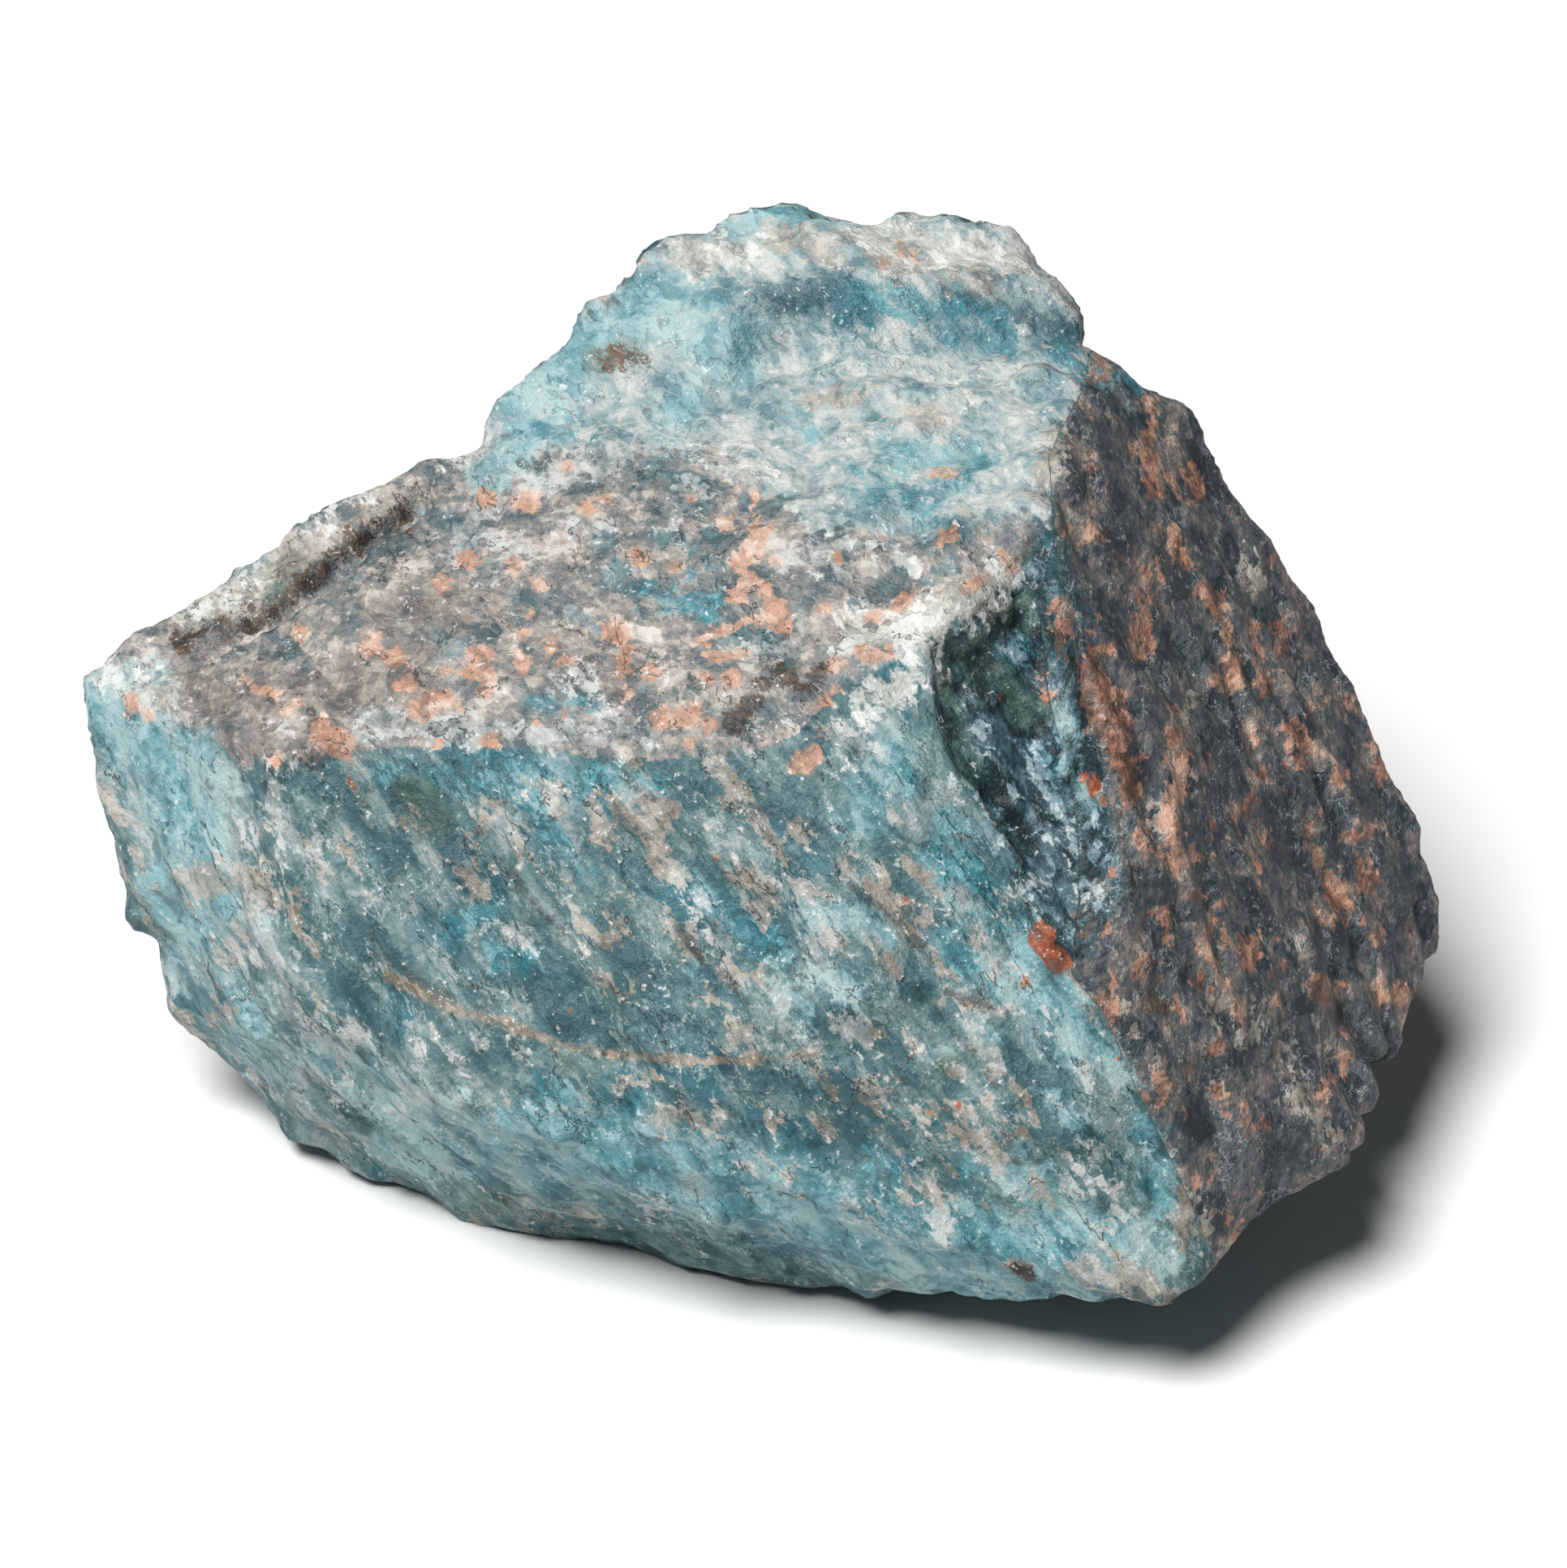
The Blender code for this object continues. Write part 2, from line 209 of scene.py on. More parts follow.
def ramp(low, high, value):
    share = np.clip((value - low) / (high - low), 0.0, 1.0)
    return share * share * (3.0 - 2.0 * share)


# The faces of the stone by their outlines in the photo. Where the camera doesn't see them,
# the way that a face points tells what it is.
TOP_OUTLINE = (
    (90, 815), (150, 872), (215, 905), (330, 934), (560, 918), (800, 938), (960, 920), (1040, 850),
    (1150, 788), (1255, 705), (1292, 650), (1292, 560), (1335, 480), (1348, 420), (1320, 330),
    (1250, 270), (1040, 240), (900, 230), (780, 300), (570, 490), (400, 600), (200, 750),
)
RIGHT_OUTLINE = (
    (1300, 660), (1292, 560), (1335, 480), (1348, 410), (1450, 470), (1600, 650), (1720, 900),
    (1850, 1150), (1780, 1350), (1640, 1520), (1500, 1600), (1478, 1500), (1400, 1340), (1362, 1250),
    (1320, 1200), (1330, 1090), (1320, 960), (1290, 850), (1280, 740),
)
CHIP_OUTLINE = (
    (1150, 788), (1200, 755), (1255, 705), (1290, 665), (1310, 740), (1333, 850), (1362, 960),
    (1385, 1090), (1345, 1180), (1290, 1190), (1240, 1060), (1200, 1000), (1165, 920), (1153, 850),
)
CROWN_OUTLINE = (
    (560, 500), (700, 400), (800, 310), (900, 240), (1040, 250), (1250, 265), (1345, 420), (1330, 480),
    (1290, 560), (1285, 640), (1150, 660), (1000, 650), (880, 560), (760, 560), (600, 560),
)

# How far inside or outside a face or a mark is kept on the mesh, in millimetres at most.
DEEPEST = 3.0
TOP_LEAN, SIDE_LEAN, BACK_LEAN = 0.72, 0.50, 0.80
BACK_SHARE, LEFT_SHARE = 0.8, 0.6
BORDER_SLOPE = 6.0
BORDER_DRIFTS = ((9.0, 4.0), (3.5, 2.0))
hidden_top = (normals[:, 2] - TOP_LEAN) * BORDER_SLOPE
drift = np.array([
    sum(noise.noise(Vector(place) / size) * push for size, push in BORDER_DRIFTS) for place in places
])
back_left = normals[:, 1] * BACK_SHARE - normals[:, 0] * LEFT_SHARE - BACK_LEAN
hidden_right = np.maximum(normals[:, 0] - SIDE_LEAN, back_left) * BORDER_SLOPE + drift
zones = {
    "top": np.where(seen, inside(TOP_OUTLINE), hidden_top),
    "right": np.where(seen, inside(RIGHT_OUTLINE), hidden_right),
    "crown": np.where(seen, inside(CROWN_OUTLINE), -DEEPEST),
    "chip": np.where(seen, inside(CHIP_OUTLINE), -DEEPEST),
}

# The relief of its faces. The rock has layers, and its grains run down the leaning front.
LINEATION = Vector((0.574, -0.470, -0.671)).normalized()
LAYER_NORMAL = Vector((-0.083, -0.849, 0.523)).normalized()
CROSS_GRAIN = LAYER_NORMAL.cross(LINEATION)


def in_grain(point, sizes):
    return Vector((
        point.dot(LINEATION) / sizes[0],
        point.dot(CROSS_GRAIN) / sizes[1],
        point.dot(LAYER_NORMAL) / sizes[2],
    ))


# Patterns and cells give numbers from 0 to 1 about this middle.
MIDDLE = 0.5
TILT_SEED, STEP_SEED = 7.31, 3.17
GRAIN_STEP = 0.5
FLAKE_RISE = 0.25


def facets(point, size, seed):
    """Flat grain faces: each cell of the rock has its own tilt, with a sharp edge to the next."""
    place = point / size + Vector((seed, 0.0, 0.0))
    centre = noise.voronoi(place)[1][0]
    tilt = noise.cell_vector(centre * TILT_SEED) - Vector((MIDDLE, MIDDLE, MIDDLE))
    return (place - centre).dot(tilt) + (noise.cell(centre * STEP_SEED) - MIDDLE) * GRAIN_STEP


def flakes(point, sizes, steps, seed):
    """Thin flakes split off the layers: plateaus with steep little edges."""
    level = noise.noise(in_grain(point, sizes) + Vector((seed, seed, 0.0))) * steps
    step = math.floor(level)
    share = level - step
    return (step + min(share / FLAKE_RISE, 1.0)) / steps


# Sizes of what makes up the relief, and how high each stands, in millimetres. The crusted faces
# and the right side are calmer than the fresh front, and the foot stays flat.
GRAIN_SIZES, GRAIN_HEIGHT = (1.7, 1.1, 1.0), 0.17
FLAKE_SIZES, FLAKE_STEPS, FLAKE_HEIGHT = (5.5, 2.4, 1.2), 7.0, 0.34
GRIT_SIZE, GRIT_HEIGHT = 0.9, 0.10
RIDGE_SIZES, RIDGE_HEIGHT = (3.0, 1.0, 0.8), 0.13
GLASSY_SIZE, GLASSY_HEIGHT = 0.85, 0.30
LUMP_SIZE, LUMP_HEIGHT = 2.6, 0.22
LUMP_SEED = Vector((7.0, 2.0, 5.0))
GRAIN_LEFT, GRAIN_FRESH = 0.35, 0.65
CRUST_CALM = 0.75
FACE_BORDER, CHIP_BORDER = (-0.5, 0.8), (-0.2, 0.3)
SIDE_BORDER = (0.15, 0.60)
FOOT = (0.15, 0.9)
LEAST_LEAN = 0.02
ROOM_SHARE = 0.8


def worked(index):
    """The relief at one point, in millimetres."""
    point = Vector(places[index])
    normal = Vector(normals[index])
    top = float(ramp(*FACE_BORDER, zones["top"][index]))
    right = float(ramp(*FACE_BORDER, zones["right"][index]))
    chip = float(ramp(*CHIP_BORDER, zones["chip"][index]))
    side = float(ramp(*SIDE_BORDER, normal.x))
    fresh = 1.0 - max(top, right, side) * CRUST_CALM
    grains = facets(in_grain(point, GRAIN_SIZES), size=1.0, seed=3.0)
    height = grains * GRAIN_HEIGHT * (GRAIN_LEFT + GRAIN_FRESH * fresh)
    height += flakes(point, FLAKE_SIZES, FLAKE_STEPS, seed=11.0) * FLAKE_HEIGHT * fresh
    height += noise.noise(point / GRIT_SIZE) * GRIT_HEIGHT
    height += noise.noise(in_grain(point, RIDGE_SIZES)) * RIDGE_HEIGHT * fresh
    height += facets(point, GLASSY_SIZE, seed=9.0) * GLASSY_HEIGHT * chip
    height += noise.noise(point / LUMP_SIZE + LUMP_SEED) * LUMP_HEIGHT * right
    return height


heights = np.array([worked(index) for index in range(count)])
limit_low = np.array(cad_box[0]) / MM
limit_high = np.array(cad_box[1]) / MM
room_ahead = np.where(normals > 0, limit_high - places, places - limit_low)
room_ahead = room_ahead / np.maximum(np.abs(normals), LEAST_LEAN)
heights = np.minimum(heights, room_ahead.min(axis=1) * ROOM_SHARE)
moved = places + normals * (heights * ramp(*FOOT, places[:, 2]))[:, None]
moved = np.clip(moved, limit_low, limit_high)
stone.data.vertices.foreach_set("co", (moved * MM).astype(np.float32).ravel())
stone.data.update()


def keep(name, values):
    attribute = stone.data.attributes.new(name, "FLOAT", "POINT")
    attribute.data.foreach_set("value", values.astype(np.float32))


for name, values in zones.items():
    keep(name, np.clip(values, -DEEPEST, DEEPEST))

# Marks placed on the stone: each is a half width in pixels, and the pixels that its middle line runs
# through. They are kept on the mesh as the depth of each point inside the nearest mark.
MARKS = {
    "pale": (
        (22, (910, 285), (960, 268), (1035, 272)), (32, (650, 490), (720, 425), (790, 375), (860, 335)),
        (20, (860, 430), (870, 380)), (26, (125, 835), (200, 838)), (10, (590, 952), (668, 962)),
        (12, (655, 1378), (700, 1388)), (12, (930, 1478), (1010, 1500)), (34, (245, 990), (262, 1090)),
        (30, (400, 1300), (500, 1360)), (34, (112, 850), (135, 885)),
        (28, (150, 895), (205, 912), (262, 940)), (36, (150, 850)), (30, (165, 925), (205, 930)),
        (15, (205, 905), (250, 940), (285, 960)), (14, (172, 985), (195, 1015)),
        (14, (225, 1150), (240, 1165)), (18, (210, 1180)), (20, (318, 1235), (322, 1262)),
        (15, (245, 1120)), (12, (330, 1130)), (26, (515, 1410), (545, 1430)),
        (26, (665, 1382), (700, 1398)), (26, (705, 1415), (768, 1418)), (12, (790, 1395)),
        (30, (985, 1500), (1080, 1530), (1160, 1570)), (16, (960, 1465), (1040, 1480)),
        (26, (1120, 1560), (1230, 1575)), (20, (1012, 1130), (1060, 1138), (1085, 1155)),
        (20, (1262, 1150), (1290, 1215), (1325, 1258), (1352, 1300), (1375, 1325)),
        (30, (1250, 1440), (1330, 1500)), (26, (1375, 1510), (1430, 1552)),
        (18, (1220, 1180), (1270, 1230)), (20, (1190, 1500), (1275, 1530)),
        (14, (1400, 1428), (1440, 1450)), (13, (1305, 898), (1322, 960), (1336, 985)),
        (15, (1310, 1355), (1320, 1375)), (26, (915, 415), (900, 460)), (20, (860, 480), (820, 520)),
        (30, (640, 560), (600, 580)), (22, (960, 265), (1000, 262)), (18, (325, 690)), (16, (295, 715)),
        (14, (380, 650)), (14, (425, 635)), (14, (960, 1195), (985, 1250)),
        (20, (1015, 1210), (1040, 1215)), (12, (855, 1190)), (16, (1200, 1255), (1215, 1275)),
        (14, (1170, 1290)), (24, (770, 400), (830, 380)), (20, (700, 470)), (16, (560, 1360)),
        (12, (460, 1375), (480, 1400)),
    ),
    "cyan": (
        (20, (1045, 368), (1130, 378), (1215, 398)), (13, (850, 400), (868, 440)),
        (12, (920, 262), (1000, 268)), (8, (450, 944), (520, 950), (600, 960), (680, 956)),
        (7, (725, 950), (800, 968)), (22, (620, 1388), (680, 1374), (740, 1394)),
        (27, (890, 1468), (1000, 1490), (1100, 1512)), (20, (480, 1402), (525, 1422)),
        (18, (760, 1422), (830, 1442)), (16, (1160, 1500), (1230, 1530)),
        (17, (1244, 785), (1253, 815)), (13, (1294, 918), (1312, 960)),
        (14, (610, 935), (650, 980), (690, 1035)), (10, (700, 1050), (722, 1092)),
        (14, (575, 935), (590, 965)), (17, (865, 1100), (905, 1135), (945, 1162)),
        (13, (560, 1140), (600, 1122)), (14, (600, 1172), (640, 1190)),
        (20, (1180, 1075), (1215, 1098)), (14, (1225, 1120), (1255, 1150)),
        (18, (1165, 1165), (1200, 1180), (1222, 1200)), (20, (684, 1348), (704, 1366)),
        (17, (722, 1372), (750, 1386)), (16, (770, 1382), (785, 1360)), (16, (880, 1448), (892, 1470)),
        (16, (840, 1430)), (18, (955, 1450)), (20, (1255, 1460), (1280, 1490)), (13, (1285, 1512)),
        (18, (1190, 1440), (1225, 1436)), (20, (1420, 1452), (1430, 1480)),
        (15, (1300, 1530), (1340, 1515)), (13, (1070, 1432), (1095, 1452)),
        (18, (815, 735), (885, 745)), (24, (1100, 562), (1200, 560)), (20, (1170, 592), (1130, 622)),
        (20, (1070, 600)), (20, (1170, 405), (1240, 428)), (24, (1080, 370), (1140, 380)),
        (15, (1300, 440), (1335, 450)), (20, (865, 405), (850, 440)), (18, (880, 375)),
        (13, (985, 512), (1000, 530)), (14, (1050, 575)), (12, (1370, 460), (1400, 478)),
        (14, (190, 1080), (215, 1150)), (12, (660, 870), (740, 862)), (14, (1165, 1010), (1150, 1050)),
        (14, (1120, 960)), (12, (1400, 1395)), (12, (1385, 1500)), (16, (700, 530), (640, 530)),
    ),
    "deep": (
        (10, (600, 1398), (660, 1422), (730, 1432), (800, 1436)), (13, (1172, 930), (1185, 985)),
        (15, (1212, 1040), (1235, 1085)), (12, (1255, 1080)), (9, (1192, 1020)),
        (13, (400, 1215), (430, 1235), (448, 1255)), (12, (375, 1190)),
        (13, (518, 1358), (560, 1378), (605, 1370)), (14, (640, 1388), (612, 1420)),
        (22, (660, 1432), (700, 1440), (690, 1465)), (13, (800, 1400), (790, 1425)),
        (11, (832, 1395), (872, 1395)), (13, (980, 1392), (1012, 1400)), (8, (555, 953), (590, 968)),
        (8, (655, 1030), (690, 1066)), (7, (462, 960), (482, 990)), (15, (468, 1070)),
        (13, (512, 1148)), (11, (430, 1150), (452, 1182)), (14, (840, 1130)),
        (13, (788, 1180), (815, 1200)), (22, (815, 1225)), (18, (800, 1255), (860, 1272)),
        (17, (960, 1062), (995, 1078)), (13, (962, 1140)), (10, (715, 1000), (738, 1020)),
        (9, (640, 1192), (692, 1210)), (14, (670, 1262), (705, 1272)), (13, (1082, 1425), (1112, 1450)),
        (12, (1118, 1480)), (13, (1235, 1268), (1272, 1278)), (9, (1240, 1368)),
        (14, (1330, 1432), (1382, 1455)), (13, (1412, 1402), (1432, 1395)), (11, (1392, 1350)),
        (15, (755, 710), (795, 728)), (17, (895, 785), (942, 782)), (13, (870, 690)), (14, (820, 665)),
        (14, (880, 660)), (10, (1080, 795), (1010, 800)), (14, (540, 780), (480, 765)),
        (18, (930, 1330), (1000, 1350)), (14, (900, 1360)), (12, (1040, 1395), (1070, 1410)),
        (14, (560, 1050), (540, 1020)), (12, (320, 1000), (308, 965)), (10, (905, 468)),
        (14, (800, 580), (870, 590)), (10, (1225, 640), (1180, 640)), (14, (1060, 740), (1100, 715)),
        (12, (620, 740), (660, 735)), (13, (1300, 1335), (1310, 1350)),
        (24, (960, 365), (1040, 362), (1120, 378)), (20, (1180, 380), (1260, 400), (1325, 425)),
        (14, (1296, 640), (1306, 700), (1318, 760)), (16, (1190, 930), (1225, 1010)),
    ),
    # Whitish fibres and pale clouding on the front, and painted highlights: the pale spots along the
    # top's front edge and on the lower front stand for glints.
    "haze": (
        (4, (352, 950), (345, 990), (343, 1040), (341, 1095)), (11, (385, 1035)), (8, (375, 1070)),
        (7, (340, 1045)), (6, (345, 1072)), (11, (300, 1028)), (8, (335, 985)), (9, (315, 1180)),
        (9, (370, 1175), (332, 1185)), (11, (425, 1285), (430, 1270)), (9, (365, 1275)),
        (8, (388, 1280)), (8, (408, 1315), (410, 1335)), (11, (395, 1300)), (7, (600, 1140)),
        (8, (635, 1150)), (9, (640, 1290)), (11, (572, 1315)), (8, (520, 1295)), (7, (590, 1285)),
        (7, (480, 1180), (485, 1208)), (9, (455, 1192)), (14, (500, 1362)),
        (5, (780, 1473), (795, 1480), (800, 1495)), (8, (815, 1490)), (11, (1050, 1482), (1068, 1490)),
        (11, (1150, 1495), (1165, 1510)), (9, (1120, 1485)), (10, (1030, 1265), (1070, 1275)),
        (6, (1180, 1285), (1222, 1300)), (9, (1242, 1122), (1250, 1105)),
        (5, (1282, 1262), (1288, 1252)), (10, (1330, 1420), (1345, 1425)),
        (12, (1305, 1455), (1342, 1465)), (11, (1380, 1460)), (12, (1368, 1485), (1388, 1497)),
        (9, (1345, 1320), (1352, 1326)), (6, (1390, 1450)), (12, (440, 912), (520, 905), (600, 905)),
        (11, (440, 882), (482, 885)), (13, (640, 905), (720, 905), (760, 898)), (7, (350, 890)),
        (13, (800, 905)), (9, (915, 803), (955, 800)), (10, (550, 888)), (14, (1000, 770), (985, 755)),
        (13, (1120, 800), (1080, 806)), (18, (1175, 762), (1232, 742)), (14, (1090, 800), (1142, 796)),
        (22, (700, 582), (765, 558)), (19, (660, 602)), (18, (832, 640), (850, 600)),
        (20, (990, 590), (1012, 620)), (15, (1060, 556)), (13, (965, 430)), (15, (1272, 420)),
        (11, (1220, 450), (1262, 456)), (9, (1145, 600)), (13, (1280, 620), (1270, 600)),
        (14, (1020, 900), (1060, 920)), (16, (1080, 880), (1110, 850)), (9, (920, 1110), (930, 1120)),
        (6, (800, 1060), (830, 1090), (860, 1120), (870, 1150), (898, 1205)),
        (5, (700, 1110), (742, 1162)), (10, (220, 860)), (8, (900, 880), (960, 890)),
        (12, (640, 680), (600, 700)), (16, (590, 640), (560, 670)), (14, (960, 690), (1050, 675)),
        (10, (570, 870), (520, 890)), (9, (690, 845), (730, 850)), (12, (700, 640), (740, 660)),
    ),
    "cream": (
        (30, (1055, 795), (1130, 768), (1195, 738)), (12, (1640, 1230), (1655, 1290)),
        (12, (1590, 1330), (1600, 1370)), (15, (770, 1000), (800, 1020), (812, 1060), (830, 1075)),
        (9, (735, 1000), (745, 1030)), (13, (888, 955), (905, 985), (932, 1012), (958, 1042)),
        (9, (980, 1012), (1000, 1038)), (12, (912, 1072), (935, 1088), (945, 1118)), (9, (1045, 1060)),
        (8, (1110, 1108), (1135, 1130)), (6, (985, 1085), (1012, 1100)),
        (6, (690, 1062), (705, 1092), (715, 1122), (735, 1160)), (8, (755, 1130), (765, 1150)),
        (10, (750, 1210), (765, 1225)), (8, (740, 1160)), (8, (820, 1122), (832, 1150), (846, 1174)),
        (8, (850, 1150), (880, 1180), (900, 1210)), (8, (870, 1225), (892, 1240)),
        (8, (1060, 1165), (1082, 1182)), (5, (1005, 1160), (1050, 1165)), (7, (910, 1260), (925, 1272)),
        (7, (775, 1105)), (6, (1165, 1230), (1205, 1242), (1250, 1250)),
        (7, (1200, 1160), (1232, 1192)), (9, (1085, 1080)), (9, (902, 1280), (930, 1290), (962, 1296)),
        (10, (1015, 1325)), (11, (1072, 1346), (1092, 1340)), (8, (1080, 1272)), (9, (1120, 1282)),
        (9, (1110, 1365), (1142, 1376)), (8, (885, 1365)), (9, (815, 1376), (850, 1375), (882, 1386)),
        (11, (1005, 1380), (1022, 1392)), (7, (965, 1370), (982, 1382)),
        (11, (1160, 1366), (1192, 1370)), (14, (1170, 1396), (1215, 1406), (1232, 1425)),
        (8, (1165, 1440), (1160, 1472)), (8, (1140, 1470)), (13, (1280, 1465), (1300, 1480)),
        (20, (1340, 1556), (1370, 1572), (1402, 1588)), (9, (1260, 1565)),
        (7, (930, 1430), (925, 1445)), (8, (980, 1450)), (7, (990, 1470)), (7, (950, 1375)),
        (7, (1025, 1345)), (8, (770, 1335)), (7, (800, 1330)), (8, (870, 1310)), (7, (1180, 1320)),
        (5, (1456, 1445), (1462, 1480), (1475, 1508), (1483, 1522)), (8, (612, 1030), (640, 1060)),
        (12, (578, 1072), (592, 1100)), (7, (620, 960), (640, 970)), (7, (680, 965), (690, 1000)),
        (17, (225, 762), (300, 726), (385, 668)), (14, (400, 645), (470, 608)), (26, (250, 1090)),
        (20, (300, 1075), (332, 1110)), (14, (270, 1180)), (16, (240, 1290)), (16, (272, 1250)),
        (20, (1060, 782), (1120, 770), (1150, 750)), (16, (1130, 742)), (13, (1230, 718)),
        (20, (950, 292), (1050, 302), (1150, 312)), (18, (1200, 312), (1252, 322)),
        (18, (840, 322), (900, 310)), (13, (1130, 520), (1152, 515)), (13, (1060, 490), (1000, 492)),
        (13, (1300, 540), (1290, 600)), (14, (232, 830), (300, 820)), (14, (200, 850)),
        (13, (280, 800)), (20, (250, 745), (300, 740)), (16, (330, 700), (362, 690)),
        (15, (420, 640), (452, 630)), (13, (500, 610)), (13, (600, 1000), (590, 1020)),
        (9, (1450, 830), (1466, 860)), (9, (1455, 890)), (11, (1450, 942), (1466, 960)),
        (9, (1436, 980), (1432, 1010)), (8, (1490, 1240), (1486, 1262)), (9, (1545, 1232)),
        (8, (1550, 1020), (1545, 1042)), (9, (1390, 1242), (1396, 1262)),
        (9, (1440, 1310), (1450, 1330)), (10, (1355, 1096), (1340, 1102)),
        (10, (1620, 1380), (1650, 1400)), (9, (1500, 1535), (1510, 1555)),
        (8, (1530, 680), (1545, 720)), (9, (1600, 1160)), (9, (1540, 1280), (1550, 1250)),
        (9, (500, 1010)),
    ),
    "wash": (
        (108, (175, 900), (230, 1000), (265, 1120), (330, 1240)), (100, (370, 1290), (560, 1400)),
        (44, (1200, 1480), (1390, 1530)), (32, (1180, 1180), (1330, 1340)),
        (40, (760, 1440), (1000, 1490)), (38, (650, 1375), (750, 1400)), (42, (1050, 800), (1200, 740)),
        (28, (860, 310), (1240, 315)), (34, (640, 530), (820, 410)), (42, (900, 540), (1240, 560)),
        (28, (250, 750), (460, 620)), (34, (110, 850), (230, 920)), (28, (1030, 900), (1110, 860)),
        (30, (750, 740), (900, 860)),
    ),
    "bright": (
        (19, (140, 836), (190, 850)), (26, (1055, 797), (1130, 770), (1195, 740)),
        (20, (1232, 712), (1244, 700)), (20, (1060, 865), (1125, 832)), (8, (235, 758), (300, 728)),
        (8, (400, 642), (460, 610)), (22, (850, 325), (920, 310)),
        (22, (1060, 297), (1150, 303), (1240, 318)), (12, (1045, 705), (1120, 690)),
        (13, (560, 570), (590, 545)), (10, (880, 565), (940, 575)),
    ),
    "salmon": (
        (7, (1130, 318)), (6, (1190, 335)), (5, (1228, 352)), (5, (1085, 325)),
        (21, (398, 906), (418, 920)), (14, (460, 795)), (15, (488, 810)), (13, (499, 845)),
        (15, (518, 872), (545, 865)), (9, (565, 868)), (8, (550, 824)), (12, (578, 828), (600, 828)),
        (9, (580, 804), (598, 803)), (9, (593, 852)), (9, (641, 826), (642, 815)), (9, (644, 781)),
        (8, (680, 796)), (8, (693, 814)), (12, (660, 720)), (6, (620, 742)), (7, (655, 757)),
        (12, (545, 717)), (14, (580, 687)), (11, (636, 697)), (13, (725, 625)), (10, (830, 694)),
        (8, (790, 692)), (6, (820, 775)), (13, (752, 778), (765, 780)), (11, (774, 799)),
        (12, (770, 822)), (10, (800, 830)), (10, (775, 855)), (15, (815, 885), (850, 880)),
        (6, (695, 878)), (6, (664, 888)), (7, (600, 916), (612, 914)), (6, (538, 919)), (8, (345, 934)),
        (12, (165, 868)), (9, (182, 880)), (9, (370, 780)), (13, (935, 655), (930, 680), (915, 690)),
        (4, (928, 610), (930, 650)), (12, (925, 710), (905, 735)), (9, (945, 735), (940, 720)),
        (9, (960, 742), (968, 775)), (8, (885, 780), (915, 765), (950, 762)), (10, (868, 790)),
        (7, (875, 812), (915, 805)), (13, (900, 835)), (9, (872, 832)), (13, (875, 895)),
        (9, (850, 915)), (14, (1002, 930), (988, 938)), (8, (1012, 905)), (7, (1002, 755), (1015, 750)),
        (9, (1025, 822), (1040, 815)), (10, (1060, 808), (1095, 806)), (8, (1030, 848), (1010, 870)),
        (7, (1120, 735), (1105, 745)), (7, (1190, 725), (1210, 712)), (9, (1240, 682), (1248, 700)),
        (6, (1035, 686)), (8, (1160, 665), (1170, 660)), (7, (1185, 628)),
        (6, (1175, 582), (1145, 582)), (12, (645, 618), (660, 622)), (11, (600, 612)), (11, (745, 615)),
        (9, (700, 575)), (12, (895, 640)), (8, (850, 615)), (8, (785, 680)),
        (5, (370, 862), (350, 880)), (5, (300, 840), (340, 855)), (6, (955, 690)),
        (5, (1070, 765), (1085, 760)), (8, (1110, 310)),
    ),
    "rust": (
        (20, (1338, 822), (1358, 862), (1378, 915)), (15, (1384, 938), (1390, 978)),
        (12, (1408, 772), (1411, 800)), (12, (1453, 940), (1449, 968), (1440, 1005)),
        (11, (1494, 728), (1501, 756)), (11, (1518, 820), (1525, 846)), (13, (1590, 902), (1608, 920)),
        (10, (1417, 568), (1420, 608)), (10, (1467, 584), (1474, 610)), (13, (1307, 752), (1313, 776)),
        (11, (1640, 1085), (1650, 1110)), (11, (1545, 1160), (1540, 1185)),
        (8, (1300, 752), (1314, 775)), (13, (1330, 818), (1345, 850)), (15, (1345, 862), (1352, 890)),
        (13, (1375, 862), (1382, 890)), (6, (1350, 800), (1368, 800)), (9, (1395, 788), (1410, 802)),
        (6, (1404, 732), (1410, 760)), (9, (1402, 935), (1385, 945)), (9, (1394, 985), (1390, 960)),
        (8, (1412, 532), (1422, 562)), (8, (1420, 602)), (8, (1464, 590), (1472, 612)),
        (8, (1414, 498)), (9, (1496, 728), (1490, 750)), (7, (1506, 758), (1512, 790)),
        (9, (1520, 830), (1530, 845)), (7, (1398, 1020), (1410, 1050), (1418, 1064)),
        (8, (1425, 1126), (1440, 1140)), (6, (1370, 1075)), (7, (1470, 1055), (1482, 1055)),
        (7, (1480, 1106), (1465, 1100)), (6, (1485, 1152)), (7, (1535, 1155), (1530, 1172)),
        (7, (1580, 1196)), (8, (1620, 1216), (1626, 1230)), (9, (1680, 1092), (1692, 1080)),
        (11, (1712, 1230), (1726, 1222)), (8, (1660, 1032), (1680, 1022)),
        (6, (1502, 1350), (1496, 1340)), (7, (1555, 1382)), (7, (1510, 1492), (1515, 1502)),
        (6, (1460, 1370)), (8, (1590, 782), (1580, 800)), (8, (1570, 770)), (7, (1566, 692)),
        (7, (1555, 955)), (8, (1590, 920), (1602, 932)), (9, (1368, 1212), (1366, 1240), (1372, 1266)),
        (6, (1445, 905)), (8, (1440, 1005), (1450, 1015)), (7, (1465, 965)),
        (8, (1540, 980), (1535, 1000)), (7, (1285, 830)), (6, (1290, 855)), (6, (1310, 655)),
        (7, (1345, 578)), (8, (1500, 1290)), (7, (1640, 1330)), (8, (1700, 1150)),
        (7, (1480, 1200), (1485, 1215)), (7, (1420, 1190)), (6, (1395, 1195)), (8, (1620, 870)),
        (8, (1650, 960)), (7, (1560, 850), (1550, 830)), (7, (1450, 655), (1458, 690)),
    ),
    "ember": (
        (2, (424, 945), (432, 966)), (3, (392, 930), (420, 934)),
        (17, (1284, 1152), (1290, 1168), (1302, 1184)), (6, (1338, 955), (1346, 970)), (5, (1360, 985)),
